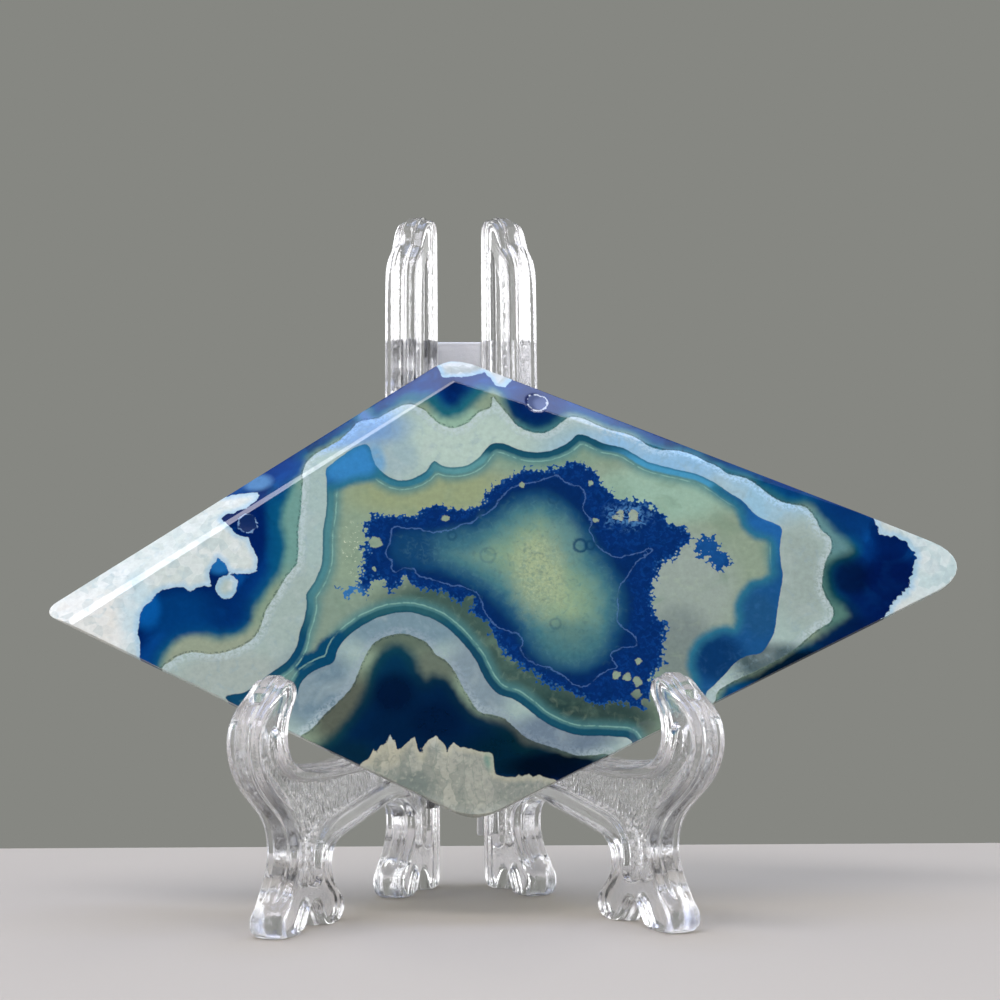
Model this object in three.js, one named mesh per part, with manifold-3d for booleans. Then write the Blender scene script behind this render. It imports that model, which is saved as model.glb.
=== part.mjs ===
// A kite-shaped slab of polished banded agate that leans on a clear two-leaf display easel.
// Millimetres, +Z up, front toward -Y. The two leaves stand as a V that opens to the front.
// Each leaf is a flat plate with a raised rim on both faces and a thin ridge round its edge.

import * as THREE from 'three';
import { mergeVertices } from 'three/addons/utils/BufferGeometryUtils.js';
import Module from 'manifold-3d';

const wasm = await Module();
wasm.setup();

// Driving dimensions of the easel
const LEAF_ANGLE = 25;
const LEAF_GAP = 5.2;
const LEAF_THICK = 4.3;
const RIM_ROUND = 0.6;
const RIDGE_THICK = 1.6;
const RIDGE_PROUD = 0.45;
const WEB_RECESS = 0.8;
const CURVE_TOLERANCE = 0.05;

// Driving dimensions of the two links behind the posts
const LINK_THICK = 1.6;
const LINK_Y = 2.6;
const UPPER_LINK_Z = [62.6, 69.1];
const LOWER_LINK_Z = [9.9, 16.3];
const LINK_RIGHT_X = 5.8;
const LINK_ROOT_X = 3.6;
const TAB_X = 2.05;
const TAB_BOTTOM = 6.1;
const PIN_X = -4.5;
const PIN_RADIUS = 1.05;
const SOCKET_BORE = 1.35;
const SOCKET_RADIUS = 1.95;

// Driving dimensions of the agate slab, in the plane of its front face
const SLAB_THICK = 6.0;
const SLAB_LEAN = 18.0;
const SLAB_TURN = 2.25;
const SLAB_ORIGIN = [0, -21.2, 37.62];
const SLAB_LEFT = [-50.0, 0.1];
const SLAB_TOP = [-0.1, 30.75];
const SLAB_RIGHT = [62.4, 0.3];
const SLAB_BOTTOM = [-0.7, -27.4];
const LEFT_ROUND = 1.2;
const TOP_ROUND = 5.5;
const RIGHT_ROUND = 2.6;
const BOTTOM_ROUND = 6.0;
const EDGE_ROUND = 0.5;
const TOP_BEVEL_SLOPE = 29;
const LEFT_BEVEL_WIDTH = 4.3;
const RIGHT_BEVEL_WIDTH_TOP = 3.2;
const RIGHT_BEVEL_WIDTH_END = 1.2;
const UNDERCUT_START = 1.2;
const UNDERCUT_SLOPE = 38;

// Outline of one leaf as [distance forward from the rear edge, height], by section

const FEET = [
  [0.1, 1.7], [0.25, 0.8], [0.7, 0.2], [1.5, 0], [3.1, 0], [3.9, 0.5], [4.5, 1.9],
  [5.3, 2.9], [6.1, 2.5], [6.8, 1.2], [7.5, 0.2], [8.3, 0], [9.9, 0], [11.1, 0.4],
  [11.7, 1.5], [11.6, 2.6], [10.9, 3.5], [9.8, 4.6], [8.7, 5.9], [8, 7.4], [7.8, 8.9],
  [8.1, 10.2], [9, 11.2], [10.6, 11.9], [12.8, 12.2], [15.2, 12], [19, 11.3],
  [24, 10.35], [27.6, 9.65], [29.4, 9.1], [30.5, 8.3], [31, 7.2], [30.9, 6], [30.3, 4.8],
  [29.3, 3.8], [28.2, 2.8], [27.8, 1.7], [28.3, 0.6], [29.5, 0], [31.7, 0], [32.8, 0.5],
  [33.7, 1.7], [34.5, 2.7], [35.3, 3], [36.2, 2.7], [37, 1.7], [37.9, 0.5], [39.1, 0],
  [42, 0],
];

const FRONT_LEG = [
  [43.1, 0.4], [43.65, 1.4], [43.35, 2.5], [42.4, 3.5], [41.2, 4.8], [40.2, 6.4], [39.5, 8.2],
  [39.5, 9.9], [40.1, 11.6], [41.5, 13.2], [43.4, 14.6], [45.5, 16.1], [47.4, 18],
  [48.5, 20.2], [48.6, 22.1], [47.9, 23.8], [46.6, 25.1], [45, 26.1], [43.8, 26.8],
];

const HOOK_AND_SEAT = [
  [42.7, 27.6], [41.5, 28.1], [40.4, 27.9], [39.7, 27.1], [39.8, 26], [40.6, 24.9],
  [41.4, 23.6], [41.8, 22.1], [41.5, 20.6], [40.5, 19.3], [38.9, 18.5], [36, 18], [33, 17.8],
  [30, 17.7], [27, 17.75], [24, 17.9], [20.5, 18], [17, 18.2], [14, 18.8], [11.9, 20.3],
  [10.3, 23], [9.2, 27], [8.5, 33],
];

const POST = [
  [8, 43], [7.85, 54], [7.55, 65], [7.4, 74.8], [7.25, 77.1], [6.75, 78.6], [6, 79.6],
  [5.3, 80.4], [4.85, 81.4], [4.3, 82.6], [3.4, 83.6], [2.3, 84.1], [1.2, 84.3], [0.45, 83.9],
  [0.1, 83],
];

const REAR_EDGE = [[0, 80], [0, 60], [0, 40], [0, 20], [0, 4]];

// Recessed webs, cut into both faces of a leaf

const POST_TOP_WEB = [
  [2.8, 69.9], [5.2, 69.9], [5.3, 74.6], [5, 76.6], [4.1, 78.4], [3.4, 80.1], [2.9, 80.6],
  [2.6, 79.8], [2.7, 75],
];

const POST_WEB = [
  [2.8, 6.1], [3.6, 5.4], [5, 5.6], [5.9, 6.6], [5.9, 9], [6.6, 11.6], [8.8, 13.4], [11, 14.4],
  [12, 15.6], [11, 17.6], [9.4, 19.6], [8, 22.6], [7.1, 27], [6.6, 33], [6.2, 44], [5.9, 56],
  [5.6, 67.6], [2.8, 67.6], [2.8, 52], [2.8, 36], [2.8, 20],
];

const BODY_WEB = [
  [15.5, 14.5], [20, 13.6], [25, 12.7], [29.6, 11.8], [32, 10.9], [33.7, 9.4], [34.2, 7.4],
  [33.9, 5.6], [34.5, 4.9], [36.4, 5], [37.7, 5.7], [37.9, 7.8], [37.8, 10], [38.4, 12.3],
  [39.8, 14.5], [41.9, 16.3], [44.2, 18.2], [46, 20.2], [46.4, 22], [45.5, 23.2], [44.4, 22.6],
  [43.6, 20.6], [42.4, 18.7], [40, 17.3], [36.2, 16.7], [30, 16.5], [24, 16.6], [18, 16.4],
];

// Small geometry functions

function point(p) {
  return new THREE.Vector3(p[0], p[1], 0);
}

function smoothLoop(points, perSpan) {
  const curve = new THREE.CatmullRomCurve3(points.map(point), true, 'centripetal');
  const loop = curve.getPoints(points.length * perSpan);
  loop.pop();
  return simplify(loop.map((p) => new THREE.Vector2(p.x, Math.max(p.y, 0))));
}

function distanceToLine(p, a, b) {
  const length = a.distanceTo(b);
  if (length < 1e-9) return p.distanceTo(a);
  const cross = (b.x - a.x) * (a.y - p.y) - (a.x - p.x) * (b.y - a.y);
  return Math.abs(cross) / length;
}

function simplifySpan(points) {
  const a = points[0];
  const b = points[points.length - 1];
  let worst = 0;
  let index = 0;
  for (let i = 1; i < points.length - 1; i += 1) {
    const d = distanceToLine(points[i], a, b);
    if (d > worst) {
      worst = d;
      index = i;
    }
  }
  if (worst < CURVE_TOLERANCE) return [a, b];
  const head = simplifySpan(points.slice(0, index + 1));
  const tail = simplifySpan(points.slice(index));
  return head.slice(0, -1).concat(tail);
}

function simplify(loop) {
  const half = Math.floor(loop.length / 2);
  const head = simplifySpan(loop.slice(0, half + 1));
  const tail = simplifySpan(loop.slice(half).concat([loop[0]]));
  return head.slice(0, -1).concat(tail.slice(0, -1));
}

function offsetLoop(loop, distance) {
  const count = loop.length;
  return loop.map((p, i) => {
    const before = loop[(i + count - 1) % count];
    const after = loop[(i + 1) % count];
    const inward = p.clone().sub(before).normalize();
    const outward = after.clone().sub(p).normalize();
    const tangent = inward.add(outward).normalize();
    return new THREE.Vector2(p.x + tangent.y * distance, Math.max(p.y - tangent.x * distance, 0));
  });
}

function plate(loop, thickness, start) {
  const shape = new THREE.Shape(loop);
  const geometry = new THREE.ExtrudeGeometry(shape, { depth: thickness, bevelEnabled: false });
  geometry.translate(0, 0, start);
  return geometry;
}

function roundedPlate(loop, thickness, start, radius) {
  const shape = new THREE.Shape(loop);
  const geometry = new THREE.ExtrudeGeometry(shape, {
    depth: thickness - 2 * radius,
    bevelEnabled: true,
    bevelThickness: radius,
    bevelSize: radius,
    bevelOffset: -radius,
    bevelSegments: 2,
  });
  geometry.translate(0, 0, start + radius);
  return geometry;
}

function solid(geometry) {
  const plain = geometry.index ? geometry.toNonIndexed() : geometry.clone();
  plain.deleteAttribute('normal');
  plain.deleteAttribute('uv');
  const merged = mergeVertices(plain, 1e-5);
  return new wasm.Manifold(new wasm.Mesh({
    numProp: 3,
    vertProperties: new Float32Array(merged.attributes.position.array),
    triVerts: new Uint32Array(merged.index.array),
  }));
}

function box(minX, minY, minZ, maxX, maxY, maxZ) {
  const geometry = new THREE.BoxGeometry(maxX - minX, maxY - minY, maxZ - minZ);
  geometry.translate((minX + maxX) / 2, (minY + maxY) / 2, (minZ + maxZ) / 2);
  return solid(geometry);
}

function upright(radius, x, y, bottom, top) {
  const geometry = new THREE.CylinderGeometry(radius, radius, top - bottom, 20);
  geometry.rotateX(Math.PI / 2);
  geometry.translate(x, y, (bottom + top) / 2);
  return solid(geometry);
}

function meshOf(name, body, colour, opacity) {
  const result = body.getMesh();
  const indexed = new THREE.BufferGeometry();
  indexed.setAttribute('position', new THREE.BufferAttribute(result.vertProperties, 3));
  indexed.setIndex(new THREE.BufferAttribute(result.triVerts, 1));
  const geometry = indexed.toNonIndexed();
  geometry.computeVertexNormals();
  const material = new THREE.MeshStandardMaterial({
    color: colour,
    roughness: 0.08,
    metalness: 0,
    transparent: opacity < 1,
    opacity,
  });
  const mesh = new THREE.Mesh(geometry, material);
  mesh.name = name;
  return mesh;
}

// One leaf in its own flat frame: X forward, Y up, Z through the thickness

function leafBlank() {
  const outline = smoothLoop([...FEET, ...FRONT_LEG, ...HOOK_AND_SEAT, ...POST, ...REAR_EDGE], 4);
  const rim = solid(roundedPlate(outline, LEAF_THICK, 0, RIM_ROUND));
  const ridgeStart = (LEAF_THICK - RIDGE_THICK) / 2;
  const ridge = solid(plate(offsetLoop(outline, RIDGE_PROUD), RIDGE_THICK, ridgeStart));
  let leaf = rim.add(ridge);
  for (const web of [POST_TOP_WEB, POST_WEB, BODY_WEB]) {
    const loop = smoothLoop(web, 4);
    leaf = leaf.subtract(solid(plate(loop, 2, WEB_RECESS - 2)));
    leaf = leaf.subtract(solid(plate(loop, 2, LEAF_THICK - WEB_RECESS)));
  }
  return leaf;
}

// Turns the flat leaf into its place on the left (-1) or right (+1) of the V

function standLeaf(leaf, side) {
  const angle = THREE.MathUtils.degToRad(LEAF_ANGLE);
  const forward = new THREE.Vector3(side * Math.sin(angle), -Math.cos(angle), 0);
  const up = new THREE.Vector3(0, 0, 1);
  const across = new THREE.Vector3().crossVectors(forward, up);
  const matrix = new THREE.Matrix4().makeBasis(forward, up, across);
  const corner = new THREE.Vector3(side * LEAF_GAP / 2, 0, 0);
  if (side > 0) corner.addScaledVector(across, -LEAF_THICK);
  matrix.setPosition(corner);
  return leaf.transform(matrix.elements);
}

// Left leaf: carries two open sockets on its rear edge that clip round the link pins

function socketBody(zRange) {
  const ring = upright(SOCKET_RADIUS, PIN_X, LINK_Y, zRange[0], zRange[1]);
  const root = box(PIN_X - 1, 0.2, zRange[0], PIN_X + 1, LINK_Y, zRange[1]);
  return ring.add(root);
}

function socketSpace(zRange) {
  const bottom = zRange[0] - 1;
  const top = zRange[1] + 1;
  const bore = upright(SOCKET_BORE, PIN_X, LINK_Y, bottom, top);
  const mouth = box(PIN_X, LINK_Y - 1.1, bottom, PIN_X + 4, LINK_Y + 1.1, top);
  return bore.add(mouth);
}

function leftLeaf(blank) {
  let leaf = standLeaf(blank, -1);
  for (const zRange of [UPPER_LINK_Z, LOWER_LINK_Z]) {
    leaf = leaf.add(socketBody(zRange)).subtract(socketSpace(zRange));
  }
  return leaf;
}

// Right leaf: carries both link bars, each ending in a pin

function linkBar(zRange) {
  const front = LINK_Y - LINK_THICK / 2;
  const back = LINK_Y + LINK_THICK / 2;
  const bar = box(PIN_X, front, zRange[0], LINK_RIGHT_X, back, zRange[1]);
  const pin = upright(PIN_RADIUS, PIN_X, LINK_Y, zRange[0], zRange[1]);
  const root = box(LINK_ROOT_X, 0.3, zRange[0], LINK_RIGHT_X, LINK_Y, zRange[1]);
  return bar.add(pin).add(root);
}

function rightLeaf(blank) {
  const tabTop = LOWER_LINK_Z[0] + 0.5;
  const back = LINK_Y + LINK_THICK / 2;
  const tab = box(TAB_X, LINK_Y - LINK_THICK / 2, TAB_BOTTOM, LINK_RIGHT_X, back, tabTop);
  const root = box(LINK_ROOT_X, 0.3, TAB_BOTTOM, LINK_RIGHT_X, LINK_Y, tabTop);
  const leaf = standLeaf(blank, 1).add(linkBar(UPPER_LINK_Z)).add(linkBar(LOWER_LINK_Z));
  return leaf.add(tab).add(root);
}

// Agate slab in its own frame: X along the length, Y up the face, Z out of the front face

function roundedCorner(before, corner, after, radius) {
  const a = new THREE.Vector2(...before).sub(new THREE.Vector2(...corner)).normalize();
  const b = new THREE.Vector2(...after).sub(new THREE.Vector2(...corner)).normalize();
  const half = Math.acos(a.dot(b)) / 2;
  const bisector = a.clone().add(b).normalize();
  const centre = new THREE.Vector2(...corner).addScaledVector(bisector, radius / Math.sin(half));
  const start = new THREE.Vector2(-bisector.x, -bisector.y).angle();
  const sweep = Math.PI / 2 - half;
  const points = [];
  for (let i = -3; i <= 3; i += 1) {
    const angle = start + (sweep * i) / 3;
    points.push(new THREE.Vector2(
      centre.x + radius * Math.cos(angle),
      centre.y + radius * Math.sin(angle),
    ));
  }
  return points;
}

function slabOutline() {
  return [
    ...roundedCorner(SLAB_TOP, SLAB_LEFT, SLAB_BOTTOM, LEFT_ROUND),
    ...roundedCorner(SLAB_LEFT, SLAB_BOTTOM, SLAB_RIGHT, BOTTOM_ROUND),
    ...roundedCorner(SLAB_BOTTOM, SLAB_RIGHT, SLAB_TOP, RIGHT_ROUND),
    ...roundedCorner(SLAB_RIGHT, SLAB_TOP, SLAB_LEFT, TOP_ROUND),
  ];
}

// A large block that lies beyond a sloped plane; the plane passes through the line from a to b

function beyondPlane(a, b, depth, slope, facing) {
  const size = 200;
  const geometry = new THREE.BoxGeometry(size, size, size);
  geometry.translate(0, size / 2, 0);
  geometry.rotateX(facing * (Math.PI / 2 - THREE.MathUtils.degToRad(slope)));
  geometry.rotateZ(Math.atan2(b[1] - a[1], b[0] - a[0]));
  geometry.translate(a[0], a[1], depth);
  return solid(geometry);
}

function shiftedLine(a, b, startInset, endInset) {
  const length = Math.hypot(b[0] - a[0], b[1] - a[1]);
  const nx = (b[1] - a[1]) / length;
  const ny = -(b[0] - a[0]) / length;
  return [
    [a[0] + nx * startInset, a[1] + ny * startInset],
    [b[0] + nx * endInset, b[1] + ny * endInset],
  ];
}

function agateSlab() {
  const blank = solid(roundedPlate(slabOutline(), SLAB_THICK, -SLAB_THICK, EDGE_ROUND));
  const left = shiftedLine(SLAB_LEFT, SLAB_TOP, LEFT_BEVEL_WIDTH, LEFT_BEVEL_WIDTH);
  const right = shiftedLine(SLAB_TOP, SLAB_RIGHT, RIGHT_BEVEL_WIDTH_TOP, RIGHT_BEVEL_WIDTH_END);
  let slab = blank;
  slab = slab.subtract(beyondPlane(left[0], left[1], 0, TOP_BEVEL_SLOPE, 1));
  slab = slab.subtract(beyondPlane(right[0], right[1], 0, TOP_BEVEL_SLOPE, 1));
  const under = 90 - UNDERCUT_SLOPE;
  slab = slab.subtract(beyondPlane(SLAB_BOTTOM, SLAB_LEFT, -UNDERCUT_START, under, -1));
  slab = slab.subtract(beyondPlane(SLAB_RIGHT, SLAB_BOTTOM, -UNDERCUT_START, under, -1));
  return slab;
}

function leanSlab(slab) {
  const matrix = new THREE.Matrix4().makeTranslation(...SLAB_ORIGIN);
  const lean = THREE.MathUtils.degToRad(90 - SLAB_LEAN);
  matrix.multiply(new THREE.Matrix4().makeRotationX(lean));
  matrix.multiply(new THREE.Matrix4().makeRotationZ(THREE.MathUtils.degToRad(SLAB_TURN)));
  return slab.transform(matrix.elements);
}

// Assembly, shifted so that the middle of its footprint is the origin

const blank = leafBlank();
const object = new THREE.Group();
object.name = 'agate_on_easel';
const parts = [
  meshOf('agate_slab', leanSlab(agateSlab()), '#2f5f86', 1),
  meshOf('stand_left_leaf', leftLeaf(blank), '#e8ecee', 0.35),
  meshOf('stand_right_leaf', rightLeaf(blank), '#e8ecef', 0.35),
];
const bounds = new THREE.Box3();
for (const part of parts) bounds.union(new THREE.Box3().setFromObject(part));
const centre = bounds.getCenter(new THREE.Vector3());
for (const part of parts) {
  part.geometry.translate(-centre.x, -centre.y, -bounds.min.z);
  object.add(part);
}

export default object;
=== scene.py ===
import math

import bmesh
import bpy
import numpy as np
from mathutils import Matrix, Vector, noise


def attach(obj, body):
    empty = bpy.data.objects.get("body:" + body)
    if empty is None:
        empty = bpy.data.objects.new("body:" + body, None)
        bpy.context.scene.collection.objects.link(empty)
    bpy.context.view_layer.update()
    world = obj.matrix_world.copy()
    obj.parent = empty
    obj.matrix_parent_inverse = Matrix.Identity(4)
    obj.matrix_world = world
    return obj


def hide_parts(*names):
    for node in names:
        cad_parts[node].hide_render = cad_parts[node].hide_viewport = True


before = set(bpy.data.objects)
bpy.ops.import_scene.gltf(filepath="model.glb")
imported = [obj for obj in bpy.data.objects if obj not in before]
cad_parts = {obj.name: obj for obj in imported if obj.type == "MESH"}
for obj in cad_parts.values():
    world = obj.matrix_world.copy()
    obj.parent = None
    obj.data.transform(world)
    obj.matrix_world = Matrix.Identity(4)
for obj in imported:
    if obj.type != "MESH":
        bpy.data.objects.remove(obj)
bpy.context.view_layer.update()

# ----- agate slab -----
# Agate slab: one flat piece sawn from a dyed blue banded nodule, ground to a kite and polished. Its two
# upper edges have wide polished bevels and its lower sides are ground back, so that the front edge is
# the widest. It leans on the posts and rests on the seats of both leaves, held by nothing else.

MM = 0.001
FOOTPRINT_MIDDLE = (4.986, -19.69, 0.0)
SLAB_THICK = 6.0
SLAB_LEAN = 18.0
SLAB_TURN = 2.25
SLAB_ORIGIN = (0.0, -21.2, 37.62)
SLAB_CORNERS = {"left": (-50.0, 0.1), "bottom": (-0.7, -27.4), "right": (62.4, 0.3), "top": (-0.1, 30.75)}
SLAB_REACH = ((-49.9, 62.4), (-27.3, 30.8))
CORNER_CUTS = {"left": 2.35, "bottom": 2.98, "right": 7.4, "top": 3.02}
TOP_BEVEL_SLOPE = 29.0
LEFT_BEVEL_WIDTH = 3.5
RIGHT_BEVEL_WIDTHS = (3.9, -1.2)
UNDERCUT_START = 1.2
UNDERCUT_SLOPE = 38.0
ARRIS_SLOPE = 14.5
ARRIS_INSETS = (0.13, 0.52)
ARRIS_SOFTENING = 0.12
SOFT_EDGE = 0.45
CRISP_ANGLE = 20
ARRIS_ANGLE = 12
ARRIS_LENGTH = 20
PATTERN_STEP = 0.4
PITS = {"left": ((-25.5, 9.4), 1.15, 0.05), "top": ((9.8, 23.6), 1.3, 0.16)}


def edge_out(start, end):
    """The direction in the slab's plane that points away from it across the side from start to end."""
    along = (Vector(end) - Vector(start)).normalized()
    return Vector((along.y, -along.x, 0.0))


def grind(bm, on_plane, facing):
    """Takes away what lies beyond a plane and closes the cut with a face."""
    geom = bm.verts[:] + bm.edges[:] + bm.faces[:]
    cut = bmesh.ops.bisect_plane(bm, geom=geom, dist=1e-5, plane_co=on_plane, plane_no=facing,
                                 clear_outer=True)
    edges = [e for e in cut["geom_cut"] if isinstance(e, bmesh.types.BMEdge)]
    bmesh.ops.holes_fill(bm, edges=edges, sides=0)


def slab_mesh():
    bm = bmesh.new()
    names = ("left", "bottom", "right", "top")
    corners = {name: bm.verts.new((*SLAB_CORNERS[name], 0.0)) for name in names}
    bm.faces.new([corners[name] for name in names])
    for name in names:
        bmesh.ops.bevel(bm, geom=[corners[name]], offset=CORNER_CUTS[name], offset_type="OFFSET",
                        segments=9, profile=0.5, affect="VERTICES", material=-1, clamp_overlap=False)
    body = bmesh.ops.extrude_face_region(bm, geom=bm.faces[:], use_keep_orig=True)
    back = [v for v in body["geom"] if isinstance(v, bmesh.types.BMVert)]
    bmesh.ops.translate(bm, verts=back, vec=(0, 0, -SLAB_THICK))
    bmesh.ops.recalc_face_normals(bm, faces=bm.faces[:])
    tilt = math.radians(TOP_BEVEL_SLOPE)
    rise = Vector((0, 0, math.cos(tilt)))
    left_out = edge_out(SLAB_CORNERS["top"], SLAB_CORNERS["left"])
    left_line = Vector((*SLAB_CORNERS["left"], 0)) - left_out * LEFT_BEVEL_WIDTH
    grind(bm, left_line, left_out * math.sin(tilt) + rise)
    arris = math.radians(ARRIS_SLOPE)
    top_end = Vector((*SLAB_CORNERS["top"], 0)) - left_out * (LEFT_BEVEL_WIDTH + ARRIS_INSETS[0])
    left_end = Vector((*SLAB_CORNERS["left"], 0)) - left_out * (LEFT_BEVEL_WIDTH + ARRIS_INSETS[1])
    arris_out = edge_out(top_end.xy, left_end.xy)
    grind(bm, left_end, arris_out * math.sin(arris) + Vector((0, 0, math.cos(arris))))
    right_out = edge_out(SLAB_CORNERS["right"], SLAB_CORNERS["top"])
    high = Vector((*SLAB_CORNERS["top"], 0)) - right_out * RIGHT_BEVEL_WIDTHS[0]
    low = Vector((*SLAB_CORNERS["right"], 0)) - right_out * RIGHT_BEVEL_WIDTHS[1]
    right_out = edge_out(low.xy, high.xy)
    grind(bm, high, right_out * math.sin(tilt) + rise)
    under = math.radians(UNDERCUT_SLOPE)
    for start, end in (("left", "bottom"), ("bottom", "right")):
        out = edge_out(SLAB_CORNERS[start], SLAB_CORNERS[end])
        on_plane = Vector((*SLAB_CORNERS[start], -UNDERCUT_START))
        grind(bm, on_plane, out * math.cos(under) + Vector((0, 0, -math.sin(under))))
    bmesh.ops.recalc_face_normals(bm, faces=bm.faces[:])
    for least, length, offset in ((CRISP_ANGLE, 0, SOFT_EDGE), (ARRIS_ANGLE, ARRIS_LENGTH, ARRIS_SOFTENING)):
        crisp = [e for e in bm.edges if len(e.link_faces) == 2 and e.calc_face_angle() > math.radians(least)
                 and (not length or e.calc_length() > length)]
        bmesh.ops.bevel(bm, geom=crisp, offset=offset, offset_type="OFFSET", segments=3, profile=0.5,
                        affect="EDGES", material=-1, clamp_overlap=True)
    for normal, (low, high) in zip((Vector((1, 0, 0)), Vector((0, 1, 0))), SLAB_REACH):
        for i in range(1, int((high - low) / PATTERN_STEP)):
            geom = bm.verts[:] + bm.edges[:] + bm.faces[:]
            bmesh.ops.bisect_plane(bm, geom=geom, dist=1e-4, plane_co=normal * (low + i * PATTERN_STEP),
                                   plane_no=normal)
    for middle, radius, depth in PITS.values():
        for vert in bm.verts:
            away = (vert.co.xy - Vector(middle)).length / radius
            if away < 1 and vert.co.z > -SLAB_THICK / 2:
                vert.co.z -= depth * (1 - away ** 4)
    return bm


# The banding, read as lines in the plane of the front face: millimetres from the middle of the slab, to the
# right and up. The bands run straight through the slab, so one set of lines serves front, sides and back.

# Outer edge of the teal band that rings the middle of the stone
TEAL_RING = [
    (-28.6, -11.5), (-26.6, -11.2), (-25.4, -10.6), (-24.3, -9.7), (-23.2, -8.9), (-21.8, -8), (-20.9, -7.1),
    (-20.1, -5.6), (-19.8, -4.2), (-19.3, -2.8), (-18.9, -1), (-18.9, 0.4), (-18.5, 0.9), (-17.8, 2),
    (-17, 3.9), (-16.8, 5.7), (-16.7, 7.9), (-16.3, 10), (-16.1, 12.1), (-16, 13.9), (-16, 15.9), (-15.4, 16.4),
    (-14, 17.5), (-12.6, 18.4), (-11.1, 18.8), (-10.6, 17.9), (-10.4, 16.8), (-9.7, 15.5), (-8.6, 14.5),
    (-7.2, 14), (-5.8, 14.2), (-4.5, 14.8), (-3.8, 15.5), (-3.2, 16.3), (-2.2, 15.7), (-0.8, 15.4), (1, 15.7),
    (2.1, 16.4), (3.1, 17.5), (3.9, 18.2), (4.9, 18.3), (6.4, 17.7), (7.8, 17.1), (9.6, 16.9), (11.4, 17.2),
    (13.1, 18), (14.4, 19), (15.6, 18.7), (17.4, 17.7), (19.6, 17.1), (21, 16.2), (22.4, 15.2), (24.3, 14.5),
    (26.4, 13.9), (28.6, 13.2), (30.4, 12.1), (32.2, 10.6), (33.6, 9.6), (34.5, 8.3), (35.8, 7.2), (37.2, 6.6),
    (37.9, 6), (37.7, 4.9), (37.4, 3.5), (37.3, 1.7), (37.4, 0.3), (37, -1.5), (36.5, -3.3), (36, -5.4),
    (35.6, -6.9), (34.7, -8.3), (33.8, -9.3), (32.2, -9.5), (30.8, -10.2), (29.4, -11.5), (27.9, -12.9),
    (26.9, -13.8), (26, -17), (18.5, -21), (17.6, -18.8), (15.8, -18.4), (13.6, -18.2), (11.5, -18),
    (9.4, -17.2), (7.5, -16), (6.1, -14.7), (4.7, -13.5), (2.9, -12.8), (2, -11.9), (1.1, -10.3), (0.4, -8.5),
    (-0.8, -6.7), (-2.1, -5.1), (-3.7, -3.7), (-5.3, -2.9), (-7.1, -2.4), (-9.2, -2.5), (-11, -3),
    (-12.8, -3.9), (-14.6, -5.3), (-15.6, -6.7), (-16, -8), (-17.8, -8.7), (-19.6, -9.9), (-20.4, -11.7),
    (-21.2, -13.5), (-22.4, -16), (-25, -17), (-27.2, -13.1),
]

# Outer edge of the pale lace band, where a row of dark specks follows it
LACE_EDGE = [
    (-35.7, -7.8), (-34.8, -7.1), (-33.6, -6.4), (-32.1, -6.1), (-30.4, -6.4), (-28.6, -6.3), (-26.4, -5.6),
    (-25, -4.6), (-24.3, -3.5), (-23.7, -1.7), (-22.9, -0.3), (-22, 1.1), (-21.1, 2.6), (-19.9, 4),
    (-19.6, 5.8), (-19.5, 8.6), (-19.2, 10.4), (-19, 12.5), (-18.8, 14.5), (-18.8, 15.4), (-18.3, 17),
    (-17.2, 18.2), (-15.8, 18.9), (-14, 20), (-12.9, 21.1), (-11.7, 22.3), (-9.7, 22.3), (-7.6, 23.4),
    (-5.8, 23.9), (-4.7, 23.3), (-4, 22.9), (-2.9, 21.6), (-1.9, 20.8), (-0.4, 20.4), (1.3, 21.1), (2.6, 22.3),
    (4.2, 23), (4.4, 24.3), (4.8, 23.6), (5.3, 22.9), (6.2, 21.6), (7.1, 20.4), (8.5, 19.6), (10.3, 19.3),
    (11.7, 20), (12.8, 20.8), (13.9, 21.4), (15.3, 21.1), (16.7, 20.2), (18.1, 19.5), (20.3, 18.9),
    (21.5, 18.2), (22.8, 17.1), (24.6, 16.5), (26.7, 16.4), (28.1, 15.9), (29.4, 15), (30.8, 14.2),
    (32.2, 13.1), (34.4, 12.4), (35.8, 11.2), (37.6, 9.6), (39.4, 8.9), (41, 8.5), (42, 7.1), (42.6, 5.5),
    (43.5, 4.6), (43.5, 3.1), (42.7, 1.7), (42.2, 0.3), (41.9, -1.5), (42.4, -3.3), (42.9, -4.5), (42.4, -5.8),
    (40.8, -6.7), (39.4, -7.7), (38.3, -8.6), (36.5, -9.7), (34.7, -10.6), (32.9, -11.4), (31.1, -12.1),
    (29.4, -12.9), (28.2, -13.7), (20, -30), (-40, -30), (-38, -12),
]

# Edge of the same lace band where it arches over the dark patch low in the middle
ARCH_EDGE = [
    (-20.3, -16.7), (-18.9, -15.8), (-17.4, -14.2), (-15.6, -12.6), (-14.2, -11.2), (-13.3, -9.4),
    (-12.6, -7.8), (-11.4, -6), (-9.9, -5.2), (-8.1, -4.9), (-6.4, -5.4), (-4.9, -6.4), (-4.2, -7.6),
    (-3.1, -8.3), (-2.1, -9.7), (-1.4, -11.4), (-0.5, -13.1), (0.4, -14.6), (1.9, -15.1), (3.3, -15.6),
    (4.4, -16.7), (5.8, -18.1), (7.9, -19), (10, -19.8), (11.1, -20.3), (13.3, -20.4), (15, -20.5), (10, -40),
    (-30, -40),
]

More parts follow.
